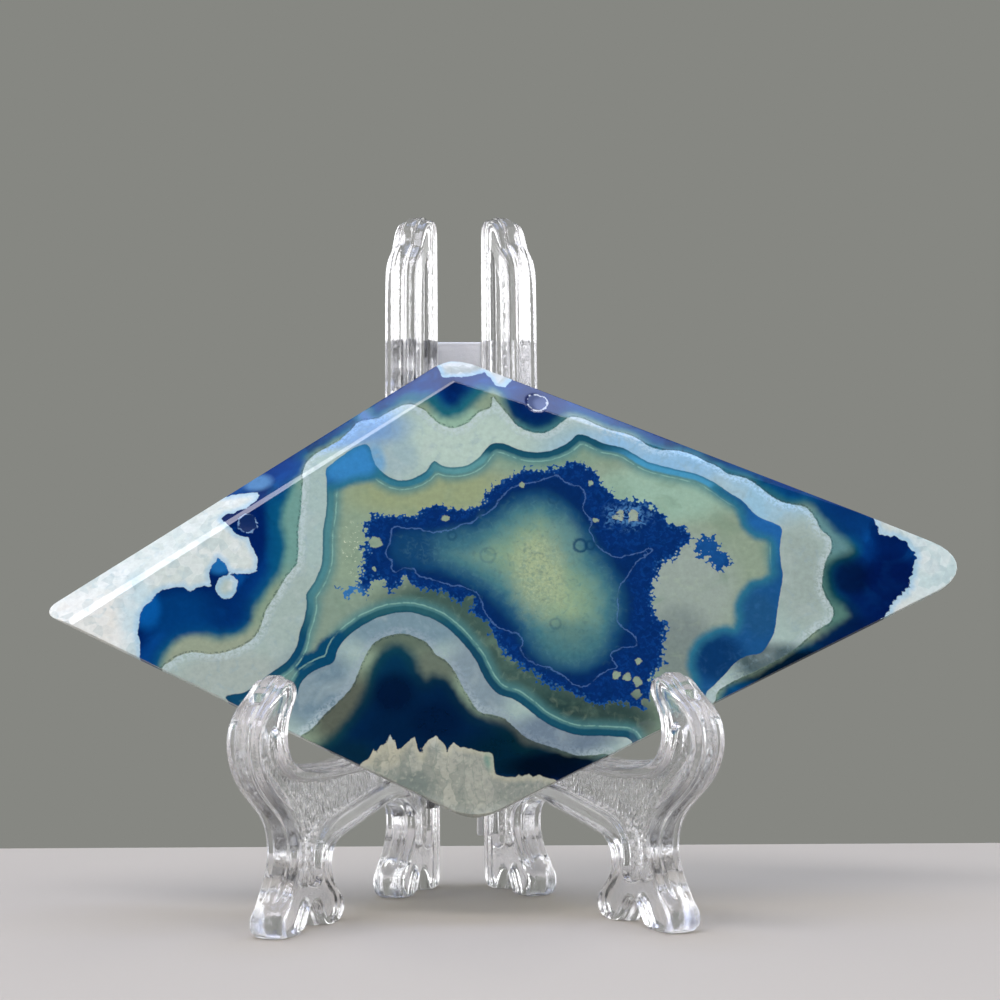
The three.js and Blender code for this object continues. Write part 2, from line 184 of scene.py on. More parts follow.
# Where the dye is deep outside the lace band: left end, the lobe under the tip, top and right, low middle
DEEP_DYE = [
    [(-20, 14.5), (-20.6, 13), (-21.6, 10.8), (-21.6, 8.6), (-21.3, 6.5), (-21.8, 4), (-22.5, 2.6),
     (-23.7, 0.8), (-25, -1), (-25.5, -2.8), (-26.8, -4), (-28.6, -4.4), (-30.4, -4), (-32.1, -3.7),
     (-33.9, -4.2), (-35, -5.3), (-35.9, -7.1), (-37, -9), (-60, -9), (-60, 30), (-14, 24), (-12, 22.8),
     (-13.3, 21.3), (-14.4, 20.4), (-16.2, 19.3), (-17.6, 18.6), (-18.7, 17.2), (-19.2, 15.6)],
    [(-10, 22.8), (-7.8, 23.8), (-5.8, 24.3), (-4.4, 23.9), (-3.6, 24), (-2.6, 22.9), (-1.7, 22.2), (-0.5, 22),
     (0.6, 22.3), (1.6, 23.2), (2.6, 24.2), (3.9, 25.2), (4.4, 25.6), (5.4, 24.8), (6, 23), (6.7, 21.6),
     (8.1, 20.5), (10.3, 20.1), (11.7, 20.8), (13, 21.8), (14, 22.1), (15.5, 21.7), (17, 20.8), (18.3, 20.1),
     (20.4, 19.4), (21.7, 18.7), (23, 17.6), (24.7, 17), (26.8, 16.9), (28.3, 16.4), (29.7, 15.5), (31, 14.7),
     (32.4, 13.6), (34.6, 12.9), (36, 11.7), (37.8, 10.1), (39.6, 9.4), (41.1, 9.3), (42.6, 8.1), (43.8, 6.5),
     (45, 5), (46.2, 3.6), (45.9, 2.6), (44.9, 2.1), (43.6, 1.5), (42.7, 0.3), (42.6, -1.1), (43.1, -2.9),
     (44.4, -4), (45.1, -5.1), (44, -6.1), (41.9, -7.2), (40.1, -8.3), (38.3, -9), (35.8, -10.4), (32.9, -11.8),
     (29.4, -13.4), (28, -16), (70, -16), (70, 40), (-12, 40)],
    [(-18.5, -18.2), (-17, -17.2), (-15.6, -16), (-13.8, -13.9), (-12.6, -12), (-12, -10), (-11.2, -8),
     (-10, -6.7), (-8.6, -6.3), (-7.4, -6.9), (-6.6, -8.2), (-6.2, -9.6), (-5.6, -10.7), (-4.6, -10.3),
     (-3.4, -10.6), (-2.4, -11.6), (-1.6, -13.2), (-0.3, -14.7), (0.8, -15.6), (2.6, -16.2), (4, -17.3),
     (5.1, -18.7), (7.2, -19.3), (10, -20.1), (13, -20.8), (16, -21), (10, -40), (-30, -40)],
]

# The deep blue heart of the stone with its bitten, fern-like edge, and the islet beside it
BLUE_HEART = [
    [(-12.2, 8.9), (-11.2, 9.3), (-10.2, 9.9), (-8.2, 9.7), (-6.1, 9.4), (-4.5, 10.4), (-2.7, 10.9),
     (-1.6, 10.4), (-0.6, 10.1), (1.2, 10.1), (2.3, 10.9), (3, 12.1), (3.9, 13), (5.5, 13.7), (6.6, 14.4),
     (8, 14.9), (10.1, 14.6), (12.3, 15.1), (14.1, 15.7), (15.3, 14.8), (16.5, 13.9), (16.7, 12.7),
     (17.8, 11.6), (18.3, 10.4), (20.6, 10.3), (22.3, 10), (23.3, 8.9), (24.6, 7.1), (26, 6.8), (26.9, 5.4),
     (26, 4.3), (25.5, 3.6), (24.2, 2.5), (23, 2.5), (22.6, 1.1), (21.9, -0.4), (21.5, -2.2), (21.9, -4.4),
     (23.5, -5.2), (22.6, -6.5), (22.4, -9), (21.8, -10.4), (20.8, -11.5), (20.1, -14), (19.7, -15.4),
     (17.9, -14.7), (16.1, -14.4), (14.7, -14.7), (13.5, -14.5), (12.2, -13.5), (10.8, -12.6), (9.4, -12.4),
     (7.9, -11.5), (7.2, -10.2), (5.8, -9.7), (4.5, -8.7), (3.5, -7.5), (3, -6.3), (2.3, -5), (1.9, -3.8),
     (0.7, -3.4), (0.1, -2.4), (0.7, -1), (0, -0.9), (-0.9, -1.8), (-2, -0.9), (-3.2, 0), (-4.9, 0.1),
     (-5.9, 0.5), (-6.6, 1.4), (-7.4, 1.9), (-7.9, 0.9), (-9.1, 0.2), (-9.7, 1.4), (-10.4, 1.9), (-11.3, 1.6),
     (-11.6, 0.3), (-12.9, 0.9), (-12.5, 1.7), (-12.2, 3.7), (-12, 4.8), (-11.3, 5.7), (-12.2, 6), (-11.4, 6.9),
     (-11.8, 8)],
    [(27.2, 3.7), (27.4, 4.8), (28.5, 5.4), (29.7, 5.4), (30.1, 3.9), (31.2, 3), (31.4, 1.8), (30.5, 1.4),
     (30.1, 0.7), (29.4, 1.4), (28.7, 2.1), (28.9, 2.9), (28, 2.8)],
    [(-15, 1), (-14.5, -0.1), (-13.9, -0.6), (-13.5, 0.3), (-12.8, 0.8), (-12.2, 0), (-11.5, 0.2), (-11.3, 1.5),
     (-12.4, 2), (-13.2, 1.3), (-14.2, 0.6)],
]

# Thin lilac line that follows the inside of the heart
HEART_LINE = [
    (-8.2, 8.4), (-8.6, 7.3), (-8.9, 6.4), (-9.4, 5.4), (-9.4, 4.6), (-8.7, 3.9), (-8.9, 2.9), (-8.2, 2.6),
    (-7.4, 3.1), (-6.4, 2.9), (-5.2, 1.8), (-3.4, 1.3), (-2, 0.6), (-0.2, 0.3), (1.1, -0.6), (1.6, -2),
    (1.9, -3.1), (3, -4.5), (4.8, -5.4), (6.1, -6.2), (5.7, -7.7), (6.6, -8.8), (8, -9.6), (9.6, -10.3),
    (11.2, -11.7), (12.7, -12.4), (14, -11.5), (15.4, -10.7), (16.9, -10.1), (16.2, -9.2), (16.4, -8.3),
    (17.6, -7.8), (19.2, -7.8), (19.1, -6.3), (17.7, -5.4), (17.2, -4), (17.5, -2.7), (17.7, -0.7), (18.7, 0.7),
    (19.5, 1.7), (20.3, 2.6), (21.3, 3.2), (22, 4.1), (20.6, 3.8), (19.2, 3.4), (17.7, 3.2), (16.1, 4.2),
    (15.2, 5.6), (14.8, 6.7), (15.1, 8), (14.3, 9.5), (14.6, 10.7), (14.5, 12), (12.4, 13), (11.6, 13.8),
    (10.6, 13.8), (9, 13.2), (6.5, 12.7), (4.7, 11.5), (3.4, 9.9), (2, 9), (0, 8.1), (-3, 7.3), (-5.2, 7.7),
    (-7, 8),
]

# Middle of the fade from navy into the green pool at the centre
GREEN_POOL = [
    (-7.5, 6.5), (-4, 6.8), (0.4, 7.6), (3.4, 9.3), (6.2, 11), (9.6, 11.5), (12.4, 9.8), (14.1, 7.3),
    (15.4, 4.4), (17.3, 1.6), (18.1, -1.5), (17.6, -4.9), (15.9, -8.1), (12.8, -10.1), (9.4, -9.5), (7, -7.5),
    (5.6, -4.8), (3.8, -2.2), (1.6, 0), (-1.6, 2.1), (-5, 3.4), (-7.8, 4.7),
]

# Where the teal band closes up between the left end and the low arch
JUNCTION = [
    (-20.6, -8.2), (-19.6, -6.9), (-18.4, -6.5), (-17.6, -5.4), (-16.4, -4.7), (-15, -4.2), (-14.6, -5.2),
    (-15.4, -6.8), (-16.2, -8.3), (-17.6, -8.5), (-19, -8.3), (-19.8, -9.6),
]

# Places inside the teal band where the dye fills it: the corner at the left and the lobes at the right
DYE_LOBES = [
    [(-16.5, 13.6), (-16.5, 16.2), (-14.2, 18), (-12.6, 19), (-10.8, 19.2), (-10.1, 17.5), (-9.6, 15.6),
     (-10.4, 14.6), (-12, 14.3), (-13.4, 13.9), (-14.8, 13.5)],
    [(30.2, 11.4), (31.3, 10.4), (32.6, 9.2), (33.2, 7.8), (33.5, 6.4), (34.7, 5.1), (36.3, 4.6), (36.7, 3.5),
     (36.3, 1.7), (36.1, 0.3), (35.1, -0.4), (33.6, -0.8), (32.4, -1.9), (31.7, -3.3), (31.5, -5.1), (31, -6.3),
     (29.7, -6.1), (27.9, -6.7), (26.5, -7.7), (25.6, -9.2), (25.4, -10.8), (25.8, -12.6), (26.1, -15),
     (28.6, -15.5), (36, -10.5), (38, -6), (39, 0), (39, 7), (34, 11)],
]

# Clear quartz where the nodule's banding stops: left tip, round cell, right tip, low tip and top tip
QUARTZ = [
    [(-38.2, -6.6), (-38.2, -4.9), (-38.4, -3.1), (-38.2, -1.4), (-37.7, -0.3), (-36.8, 0.4), (-36.4, 1.1),
     (-35.4, 1.7), (-34.3, 1.9), (-33.2, 1.9), (-32.5, 1.2), (-31.8, 1.7), (-30.5, 1.9), (-29.8, 1.7),
     (-30.1, 2.8), (-30.1, 3.8), (-29.5, 4.5), (-29.1, 5.3), (-28.4, 4.8), (-28.1, 3.9), (-27.5, 3.3),
     (-25.7, 3.1), (-24.5, 3.6), (-24.4, 4.9), (-25, 6.3), (-25.5, 7.6), (-26.8, 8.1), (-27.3, 8.8),
     (-28.2, 9.7), (-28.6, 10.4), (-28, 10.9), (-27.1, 10.9), (-25.9, 11.3), (-24.4, 12.4), (-24, 13.4),
     (-25, 13.7), (-26.5, 13.6), (-27.6, 13.6), (-60, 13.6), (-60, -8)],
    [(-29.5, 2.1), (-28.6, 3), (-27.7, 3.2), (-26.9, 2.4), (-26.9, 1.1), (-27.7, 0.3), (-28.6, 0.3),
     (-29.4, 1)],
    [(49, 7.5), (49.1, 6.4), (49.4, 6.1), (49.2, 5.7), (49.6, 5.3), (49.4, 4.8), (49.9, 4.5), (50.5, 4.6),
     (50.8, 4.2), (51.2, 4.6), (51.5, 4.1), (52, 4.2), (52.2, 3.7), (52.9, 3.7), (52.6, 3.2), (53.1, 3),
     (53.1, 2.5), (53.7, 2.4), (53.4, 1.9), (53.8, 1.5), (53.3, 1.2), (53.5, 0.8), (52.9, 0.6), (53.2, 0.1),
     (52.7, -0.2), (53.1, -0.7), (52.4, -0.9), (52.6, -1.3), (52.1, -1.5), (52.6, -2), (51.9, -2.2), (52, -2.7),
     (51.4, -2.5), (51.3, -3.1), (50.8, -3.1), (50.7, -3.6), (50.2, -3.5), (50.1, -4.1), (49.6, -4.2),
     (49.7, -4.8), (49.1, -5), (49.1, -5.6), (48.6, -5.8), (47, -8), (70, -8), (70, 8)],
    [(-14.2, -21), (-13.5, -20.2), (-12.3, -19.4), (-12, -18.5), (-11.6, -19), (-11.1, -18.1), (-10.8, -18.5),
     (-10.4, -17.3), (-10.2, -17.8), (-9.9, -16.9), (-9.6, -17.7), (-9.4, -17.4), (-9.2, -18.6), (-8.8, -18.8),
     (-8.1, -17.9), (-7.1, -17.3), (-6.9, -18.4), (-6.4, -19.7), (-6.2, -18.5), (-5.5, -17.7), (-4.6, -17.3),
     (-4.2, -17.9), (-3.7, -18.4), (-3.5, -19.3), (-3.2, -18.5), (-2.7, -18.2), (-2.1, -18.7), (-0.8, -19),
     (0.3, -19.4), (1.7, -19.6), (1.8, -22.1), (2.9, -22.5), (4.2, -22.6), (4.6, -22.2), (5, -22.6),
     (5.6, -22.1), (6.1, -22.7), (6.9, -22.4), (7.4, -22.8), (8.4, -23), (9.5, -23.6), (9, -40), (-20, -40)],
    [(-2.2, 30), (-1.8, 28.6), (-1.4, 27.4), (0.2, 27.2), (1.8, 27.5), (3.2, 28), (3.6, 28.3), (4.4, 27.4),
     (4.8, 26.1), (6, 25.9), (6.8, 26.9), (7.4, 28), (5, 31)],
]


def span_points(a, b, c, d, count):
    """Points from b up to c on the smooth curve that passes a, b, c and d, without overshoot."""
    before, across, after = (max(np.hypot(*(q - p)) ** 0.5, 1e-3) for p, q in ((a, b), (b, c), (c, d)))
    leave = across * ((b - a) / before - (c - a) / (before + across) + (c - b) / across)
    arrive = across * ((c - b) / across - (d - b) / (across + after) + (d - c) / after)
    t = np.linspace(0, 1, count, endpoint=False)[:, None]
    return b + leave * t + (3 * (c - b) - 2 * leave - arrive) * t ** 2 + (2 * (b - c) + leave + arrive) * t ** 3


def smooth_path(points, count=4):
    """A closed smooth curve through the points."""
    p = np.array(points, dtype=float)
    return np.vstack([span_points(p[i - 1], p[i], p[(i + 1) % len(p)], p[(i + 2) % len(p)], count)
                      for i in range(len(p))])


def distance_to(places, path):
    """How far each place is from a closed path, in the path's own unit; negative inside it."""
    nearest = np.full(len(places), 1e9)
    crossings = np.zeros(len(places), dtype=int)
    for a, b in zip(path, np.roll(path, -1, axis=0)):
        along = b - a
        t = np.clip(((places - a) @ along) / max(along @ along, 1e-12), 0, 1)
        nearest = np.minimum(nearest, np.hypot(*(places - a - t[:, None] * along).T))
        if a[1] != b[1]:
            straddles = (places[:, 1] < a[1]) != (places[:, 1] < b[1])
            cross_at = a[0] + (places[:, 1] - a[1]) / (b[1] - a[1]) * (b[0] - a[0])
            crossings += straddles & (places[:, 0] < cross_at)
    return np.where(crossings % 2 == 1, -nearest, nearest)


def finished_mesh(name, bm):
    mesh = bpy.data.meshes.new(name)
    bm.to_mesh(mesh)
    bm.free()
    return mesh


def into_scene(name, data):
    """Puts a mesh, a light or a camera into the scene as an object."""
    made = bpy.data.objects.new(name, data)
    bpy.context.scene.collection.objects.link(made)
    return made


slab_bm = slab_mesh()
slab_places = np.array([v.co for v in slab_bm.verts])


def from_nearest(regions, smooth=True):
    """Distance of every place on the slab from the nearest of some closed lines, negative inside one."""
    paths = [smooth_path(r) if smooth else np.array(r, dtype=float) for r in regions]
    return np.min([distance_to(slab_places[:, :2], path) for path in paths], axis=0)


lace = np.maximum(from_nearest([LACE_EDGE]), -from_nearest([ARCH_EDGE]))
banding = {
    "place_on_slab": slab_places,
    "ring_lace_deep": np.stack([from_nearest([TEAL_RING]), lace, from_nearest(DEEP_DYE)], axis=1),
    "heart_line_pool": np.stack([from_nearest(BLUE_HEART, smooth=False), from_nearest([HEART_LINE]),
                                 from_nearest([GREEN_POOL])], axis=1),
    "lobe_quartz_join": np.stack([from_nearest(DYE_LOBES), from_nearest(QUARTZ, smooth=False),
                                  from_nearest([JUNCTION])], axis=1),
}
slab_pose = (Matrix.Translation(Vector(SLAB_ORIGIN) - Vector(FOOTPRINT_MIDDLE))
             @ Matrix.Rotation(math.radians(90 - SLAB_LEAN), 4, "X")
             @ Matrix.Rotation(math.radians(SLAB_TURN), 4, "Z"))
bmesh.ops.transform(slab_bm, matrix=Matrix.Scale(MM, 4) @ slab_pose, verts=slab_bm.verts[:])
slab = into_scene("agate_slab_polished", finished_mesh("agate_slab_polished", slab_bm))
slab.data.shade_smooth()
for name, values in banding.items():
    layer = slab.data.attributes.new(name, "FLOAT_VECTOR", "POINT")
    layer.data.foreach_set("vector", values.astype(np.float32).ravel())


def colour(sheet_value):
    """A colour from its sRGB hex value, as the linear colour that the shaders take."""
    parts = [int(sheet_value[i:i + 2], 16) / 255 for i in (1, 3, 5)]
    linear = [c / 12.92 if c <= 0.04045 else ((c + 0.055) / 1.055) ** 2.4 for c in parts]
    return (*linear, 1.0)


def add(tree, kind, inputs=None, stops=None, **settings):
    """Adds a node; each input is set to a value or linked to another node's socket."""
    node = tree.nodes.new("ShaderNode" + kind)
    for name, value in settings.items():
        setattr(node, name, value)
    if stops:
        for _ in range(len(stops) - 2):
            node.color_ramp.elements.new(0.5)
        for element, (position, value) in zip(node.color_ramp.elements, stops):
            element.position = position
            element.color = colour(value)
    for name, value in (inputs or {}).items():
        if isinstance(value, bpy.types.NodeSocket):
            tree.links.new(value, node.inputs[name])
        else:
            node.inputs[name].default_value = value
    return node


def new_material(name):
    material = bpy.data.materials.new(name)
    material.use_nodes = True
    tree = material.node_tree
    tree.nodes.clear()
    shader = add(tree, "BsdfPrincipled")
    add(tree, "OutputMaterial", {"Surface": shader.outputs["BSDF"]})
    return material, tree, shader


# Dyed banded agate, lapped and polished: a hard glassy gloss over colour that lies in the stone itself.
# Every line is a distance in millimetres from one of the lines above, broken up by the grain of the stone.
agate, tree, shader = new_material("banded_agate_polished")
place = add(tree, "Attribute", attribute_name="place_on_slab").outputs["Vector"]
(ring, lace, deep), (heart, line, pool), (lobe, quartz, junction) = [
    add(tree, "SeparateXYZ",
        {0: add(tree, "Attribute", attribute_name=name).outputs["Vector"]}).outputs
    for name in ("ring_lace_deep", "heart_line_pool", "lobe_quartz_join")]


def faded(value, start, end, most=1.0):
    """From 0 at start to most at end, smoothly."""
    return add(value.id_data, "MapRange",
               {"Value": value, "From Min": start, "From Max": end, "To Max": most},
               interpolation_type="SMOOTHSTEP").outputs["Result"]


def both(mask, *others):
    """Where several masks hold together; all but the first may be plain shares."""
    for other in others:
        mask = add(mask.id_data, "Math", {0: mask, 1: other}, operation="MULTIPLY").outputs[0]
    return mask


def off(value, at=0.0):
    """How far a value is from a given one, either way."""
    moved = add(value.id_data, "Math", {0: value, 1: -at}, operation="ADD").outputs[0]
    return add(value.id_data, "Math", {0: moved}, operation="ABSOLUTE").outputs[0]


def over(below, above, mask):
    """Lays one colour over another by a mask from 0 to 1."""
    below, above = (c if isinstance(c, bpy.types.NodeSocket) else colour(c) for c in (below, above))
    return add(mask.id_data, "Mix", {0: mask, 6: below, 7: above}, data_type="RGBA").outputs[2]


def layered(base, *layers):
    """Lays colours over a base one after another, each by its own mask."""
    for value, mask in layers:
        base = over(base, value, mask)
    return base


def far_from(middle, size=(1, 1)):
    """Distance from a spot on the slab, in half sizes of an oval."""
    offset = add(tree, "VectorMath", {0: place, 1: (*middle, 0)}, operation="SUBTRACT").outputs[0]
    scaled = add(tree, "VectorMath", {0: offset, 1: (*size, 1000)}, operation="DIVIDE").outputs[0]
    return add(tree, "VectorMath", {0: scaled}, operation="LENGTH").outputs["Value"]


def tinted(base, *tints):
    """Lays soft oval patches of colour over a base: middle, half sizes, colour and strength."""
    for middle, size, value, strength in tints:
        base = over(base, value, faded(far_from(middle, size), 1.35, 0.55, strength))
    return base


def wandering(value, per_mm, reach, detail=3.0, rough=0.6):
    """Shifts a distance by grain of the given number to the millimetre, by up to reach each way."""
    grain = add(tree, "TexNoise",
                {"Vector": place, "Scale": per_mm, "Detail": detail, "Roughness": rough}).outputs["Fac"]
    shift = add(tree, "Math", {0: grain, 1: -0.5}, operation="ADD").outputs[0]
    return add(tree, "Math", {0: shift, 1: 2.0 * reach, 2: value}, operation="MULTIPLY_ADD").outputs[0]


def bitten(value, per_mm, reach, level=0.42):
    """Shifts a distance so that its edge has round bites with points between them, about even at level."""
    cells = add(tree, "TexVoronoi", {"Vector": place, "Scale": per_mm}, voronoi_dimensions="2D")
    bite = add(tree, "Math", {0: level, 1: cells.outputs["Distance"]}, operation="SUBTRACT").outputs[0]
    return add(tree, "Math", {0: bite, 1: reach, 2: value}, operation="MULTIPLY_ADD").outputs[0]


fine_ring = wandering(ring, 0.9, 0.12)
fine_lace = wandering(lace, 1.6, 0.16)
soft_deep = wandering(deep, 0.35, 0.5, detail=2.0)
fern_heart = bitten(bitten(heart, 1.1, 0.8), 2.5, 0.9)
fern_heart = wandering(fern_heart, 3.0, 0.3, detail=4.0, rough=0.7)
low_tip = faded(far_from((-2, -23), (14, 7)), 1.3, 0.9)
above_tip = faded(low_tip, 1.0, 0.0)
rough_quartz = wandering(bitten(quartz, 0.8, both(above_tip, 0.22)), 1.7, 0.22, rough=0.7)

# Fine grain at four sizes, used wherever a colour is broken up
coarse_grain, middle_grain, flake_grain, small_grain = [
    add(tree, "TexNoise",
        {"Vector": place, "Scale": per_mm, "Detail": 4.0, "Distortion": 0.8}).outputs["Fac"]
    for per_mm in (0.22, 0.8, 1.7, 2.8)]

# The paler chalcedony inside the teal ring, the ring itself and the lobes where dye fills it
cream = tinted(
    "#8b9c86",
    ((-14, 6), (5, 9), "#899e86", 0.8), ((-4, 12.5), (10, 3.2), "#949f75", 0.8),
    ((10, 16.2), (8, 2), "#7a9a84", 0.6), ((24, 11), (9, 4), "#97b8a4", 0.8),
    ((26, -1), (6, 7), "#96a399", 0.9), ((24.5, -8), (4, 5), "#74817e", 0.8),
    ((-3, -3), (9, 5), "#304e49", 0.9), ((5, -11), (8, 6), "#2f4d49", 0.92),
    ((13, -16.5), (9, 4), "#1e3939", 0.92), ((-15.5, -2.5), (4, 4), "#7e9383", 0.7))
teal = tinted(
    "#1b4f62",
    ((-17, 6), (3, 10), "#4f868a", 0.9), ((26, 13.5), (11, 4), "#4a9abf", 0.9),
    ((-7, 14), (6, 3), "#37788a", 0.9), ((-18, -7), (4, 3), "#0d4466", 0.8),
    ((-26, -11), (4, 3), "#0d4466", 0.8), ((36, 5), (4, 5), "#22609c", 0.8),
    ((2, -9), (4, 5), "#174258", 0.8), ((1, 15.6), (4.5, 1.6), "#609a9a", 0.85),
    ((-7, -2.2), (6, 2), "#2f5f62", 0.7))
lobe_blue = tinted(
    "#1c5183",
    ((-13, 16.5), (4, 3), "#3a86be", 0.9), ((36, 5.5), (3, 3.5), "#2362a0", 0.9),
    ((34, -4.5), (2.2, 2.8), "#205078", 0.8), ((28.5, -9.5), (3.4, 3), "#0a325f", 0.9))
lobe_blue = over(lobe_blue, "#3f76a4", faded(middle_grain, 0.5, 0.75, 0.18))
lobe_edge = wandering(lobe, 0.5, 0.3)
pale_line = both(faded(fine_ring, -1.3, -1.19, 0.6), faded(fine_ring, -1.03, -1.13))
inner = layered(
    cream,
    ("#a9b89a", faded(middle_grain, 0.52, 0.75, 0.18)),
    ("#6f8a74", faded(coarse_grain, 0.5, 0.3, 0.35)),
    ("#4d7f80", faded(fine_ring, -2.5, -0.85, 0.9)),
    (teal, faded(fine_ring, -1.0, -0.65)),
    ("#12405a", faded(fine_ring, -0.35, -0.1, 0.45)),
    ("#0d4564", faded(wandering(junction, 1.2, 0.3), 0.35, -0.5)),
    ("#8db8a8", both(pale_line, faded(middle_grain, 0.3, 0.55))),
    ("#2d6f85", faded(lobe_edge, 0.9, -0.1)),
    (lobe_blue, faded(lobe_edge, 0.3, -1.3)))

# The blue heart: mottled cobalt at its rim, navy inside it, and the green pool in the middle
pool_reach = add(tree, "MapRange", {"Value": wandering(pool, 0.7, 0.9, detail=5.0),
                                    "From Min": 2.0, "From Max": -6.4}).outputs["Result"]
pool_colour = add(tree, "ValToRGB", {"Fac": pool_reach}, stops=[
    (0.0, "#05234f"), (0.13, "#0b2f5c"), (0.23, "#18466a"), (0.33, "#305e74"), (0.44, "#45757c"),
    (0.57, "#648b82"), (0.74, "#7a9a82"), (0.95, "#8ea785")]).outputs["Color"]
pool_colour = tinted(
    pool_colour,
    ((-7, 5.4), (4.2, 3.2), "#123f68", 0.9), ((11.5, -7), (4, 3), "#3c6a72", 0.6),
    ((11.5, 5.5), (2.2, 3), "#6b8f88", 0.5), ((-1, 6), (3, 2), "#356678", 0.5))
core = faded(wandering(far_from((8.4, 1.6), (4, 6.4)), 0.7, 0.25), 1.15, 0.3)
in_pool = faded(pool, 0.3, -1.2)
pool_colour = layered(
    pool_colour,
    ("#a8b38b", both(core, 0.6)),
    ("#76907a", both(core, faded(small_grain, 0.5, 0.36, 0.5))),
    ("#bcc49e", both(core, faded(small_grain, 0.55, 0.7, 0.4))),
    ("#3a6470", faded(middle_grain, 0.45, 0.25, 0.35)),
    ("#5b8b90", both(in_pool, faded(flake_grain, 0.48, 0.7, 0.22))),
    ("#0e3b5c", both(in_pool, faded(flake_grain, 0.46, 0.3, 0.14))))
rim_colour = layered(
    "#082c66",
    ("#0e3f82", faded(flake_grain, 0.46, 0.66, 0.6)),
    ("#052658", faded(middle_grain, 0.52, 0.36, 0.5)),
    ("#2f6fae", faded(fern_heart, -0.5, 0.05, 0.5)))
rim_colour = tinted(rim_colour, ((-13.8, 0.2), (1.7, 1.3), "#3b7ab0", 0.8),
                    ((29.2, 3.4), (2.4, 2.4), "#1c5590", 0.7))
thread = off(wandering(wandering(line, 0.7, 0.5), 2.4, 0.14))
heart_colour = layered(
    rim_colour,
    ("#07295a", faded(wandering(line, 1.0, 0.4), 0.6, -0.6, 0.8)),
    (pool_colour, faded(pool, 1.7, 0.3)),
    ("#587db0", both(faded(thread, 0.13, 0.02, 0.5), faded(middle_grain, 0.25, 0.5))))

# Dark round eyes in the pool, and pale round cells that the blue leaves free
for spot, radius, strength in (((13.6, 4.9), 0.75, 0.8), ((14.8, 4.9), 0.5, 0.7), ((10.8, 10.9), 0.55, 0.4),
                               ((2.6, 4.2), 0.9, 0.25), ((-1.5, 6.8), 0.5, 0.45), ((10.0, -4.6), 0.6, 0.3)):
    from_eye = off(wandering(far_from(spot), 1.5, 0.2), radius)
    heart_colour = over(heart_colour, "#123b5c", faded(from_eye, 0.3, 0.0, strength))
in_heart = faded(fern_heart, 0.05, -0.05)
for spot, radius in (((-2.2, 9.0), 0.45), ((7.2, 12.8), 0.35), ((15.5, 12.7), 0.3), ((15.7, 8.0), 0.35),
                     ((-10.6, 6.4), 0.75), ((-10.9, 3.1), 0.25), ((19.3, -9.6), 0.4), ((16.6, -11.1), 0.5),
                     ((17.9, -11.4), 0.5), ((19.0, -12.0), 0.6), ((18.8, -13.5), 0.6), ((19.7, -14.5), 0.5),
                     ((22.4, 9.3), 0.3), ((0.0, -1.4), 0.6)):
    in_heart = both(in_heart, faded(wandering(far_from(spot), 1.6, 0.45), radius - 0.12, radius + 0.06))
frost = faded(wandering(far_from((19.7, 8.4), (3.2, 1.9)), 0.9, 0.9), 1.15, 0.4)
frost_middle = faded(wandering(far_from((19.4, 8.3), (1.9, 0.9)), 0.9, 1.2), 1.0, 0.8, 0.85)
glints = faded(far_from((-13.4, 5.6), (1.5, 3.6)), 1.2, 0.6, 0.7)
heart_colour = layered(
    heart_colour,
    ("#4f86b6", both(frost, faded(flake_grain, 0.4, 0.6, 0.8))),
    ("#9fab92", both(frost_middle, faded(middle_grain, 0.42, 0.47))))
inner = layered(inner, (heart_colour, in_heart), ("#d3d9bd", both(glints, faded(small_grain, 0.6, 0.68))))

# The lace: pale chalcedony with a frosted outer border and faint lines along it, darkened along the lower-right
# edge by painted shade
lace_white_and_edge_shade = tinted(
    "#a3b8af",
    ((-21, -2), (6, 8), "#9eafa6", 0.8), ((-28, -9), (7, 3), "#a3aea5", 0.9),
    ((-17.6, 10), (2.5, 7), "#a2b8b2", 0.8), ((0, 19), (9, 4), "#b2c6b8", 0.9),
    ((-8, 17.5), (3, 3), "#91abb2", 0.7), ((24, 16), (13, 5), "#8cb8d6", 0.95),
    ((36, 10), (6, 4), "#93bdd2", 0.9), ((39.5, 0), (4, 7), "#97a69d", 0.9),
    # painted shade: the dark grey patch at (35, -10.3), first on this line, darkens the lace along the
    # lower-right edge
    ((35, -10.3), (5, 2.2), "#34494e", 0.95), ((-13, 21), (7, 2.6), "#7199c4", 0.9),
    ((-18, -11), (5, 5), "#6d8591", 0.95), ((-7, -4), (9, 3), "#738d97", 0.95),
    ((0.5, -11), (4, 6), "#7e9098", 0.95), ((9.5, -18), (7, 3), "#6b7c8b", 0.95),
    ((-10.2, 16.6), (1.3, 2), "#5f9cc8", 0.7))
frost_white_and_edge_shade = tinted(
    "#bccbcd",
    ((32, 12), (14, 8), "#b4dcfa", 0.9), ((-13, 21), (8, 3.5), "#8cb8e6", 0.9),
    # painted shade: the dark grey patch at (34.5, -10.5), first on this line, darkens the frosted border along
    # the lower-right edge
    ((34.5, -10.5), (6, 3), "#465c62", 0.95), ((-8, -8), (12, 9), "#8b9ba6", 0.85),
    ((7, -17.5), (8, 4), "#7a8b97", 0.9))
lace_line = off(wandering(lace, 0.8, 0.3), -0.85)
lace_white_and_edge_shade = layered(
    lace_white_and_edge_shade,
    ("#b3c0ba", faded(coarse_grain, 0.5, 0.7, 0.3)),
    ("#8fa6ad", faded(middle_grain, 0.48, 0.3, 0.35)),
    ("#7391a3", both(faded(lace_line, 0.14, 0.04, 0.16), faded(small_grain, 0.42, 0.55))),
    (frost_white_and_edge_shade, both(faded(fine_lace, -1.2, -0.25, 0.65), faded(small_grain, 0.36, 0.58))))
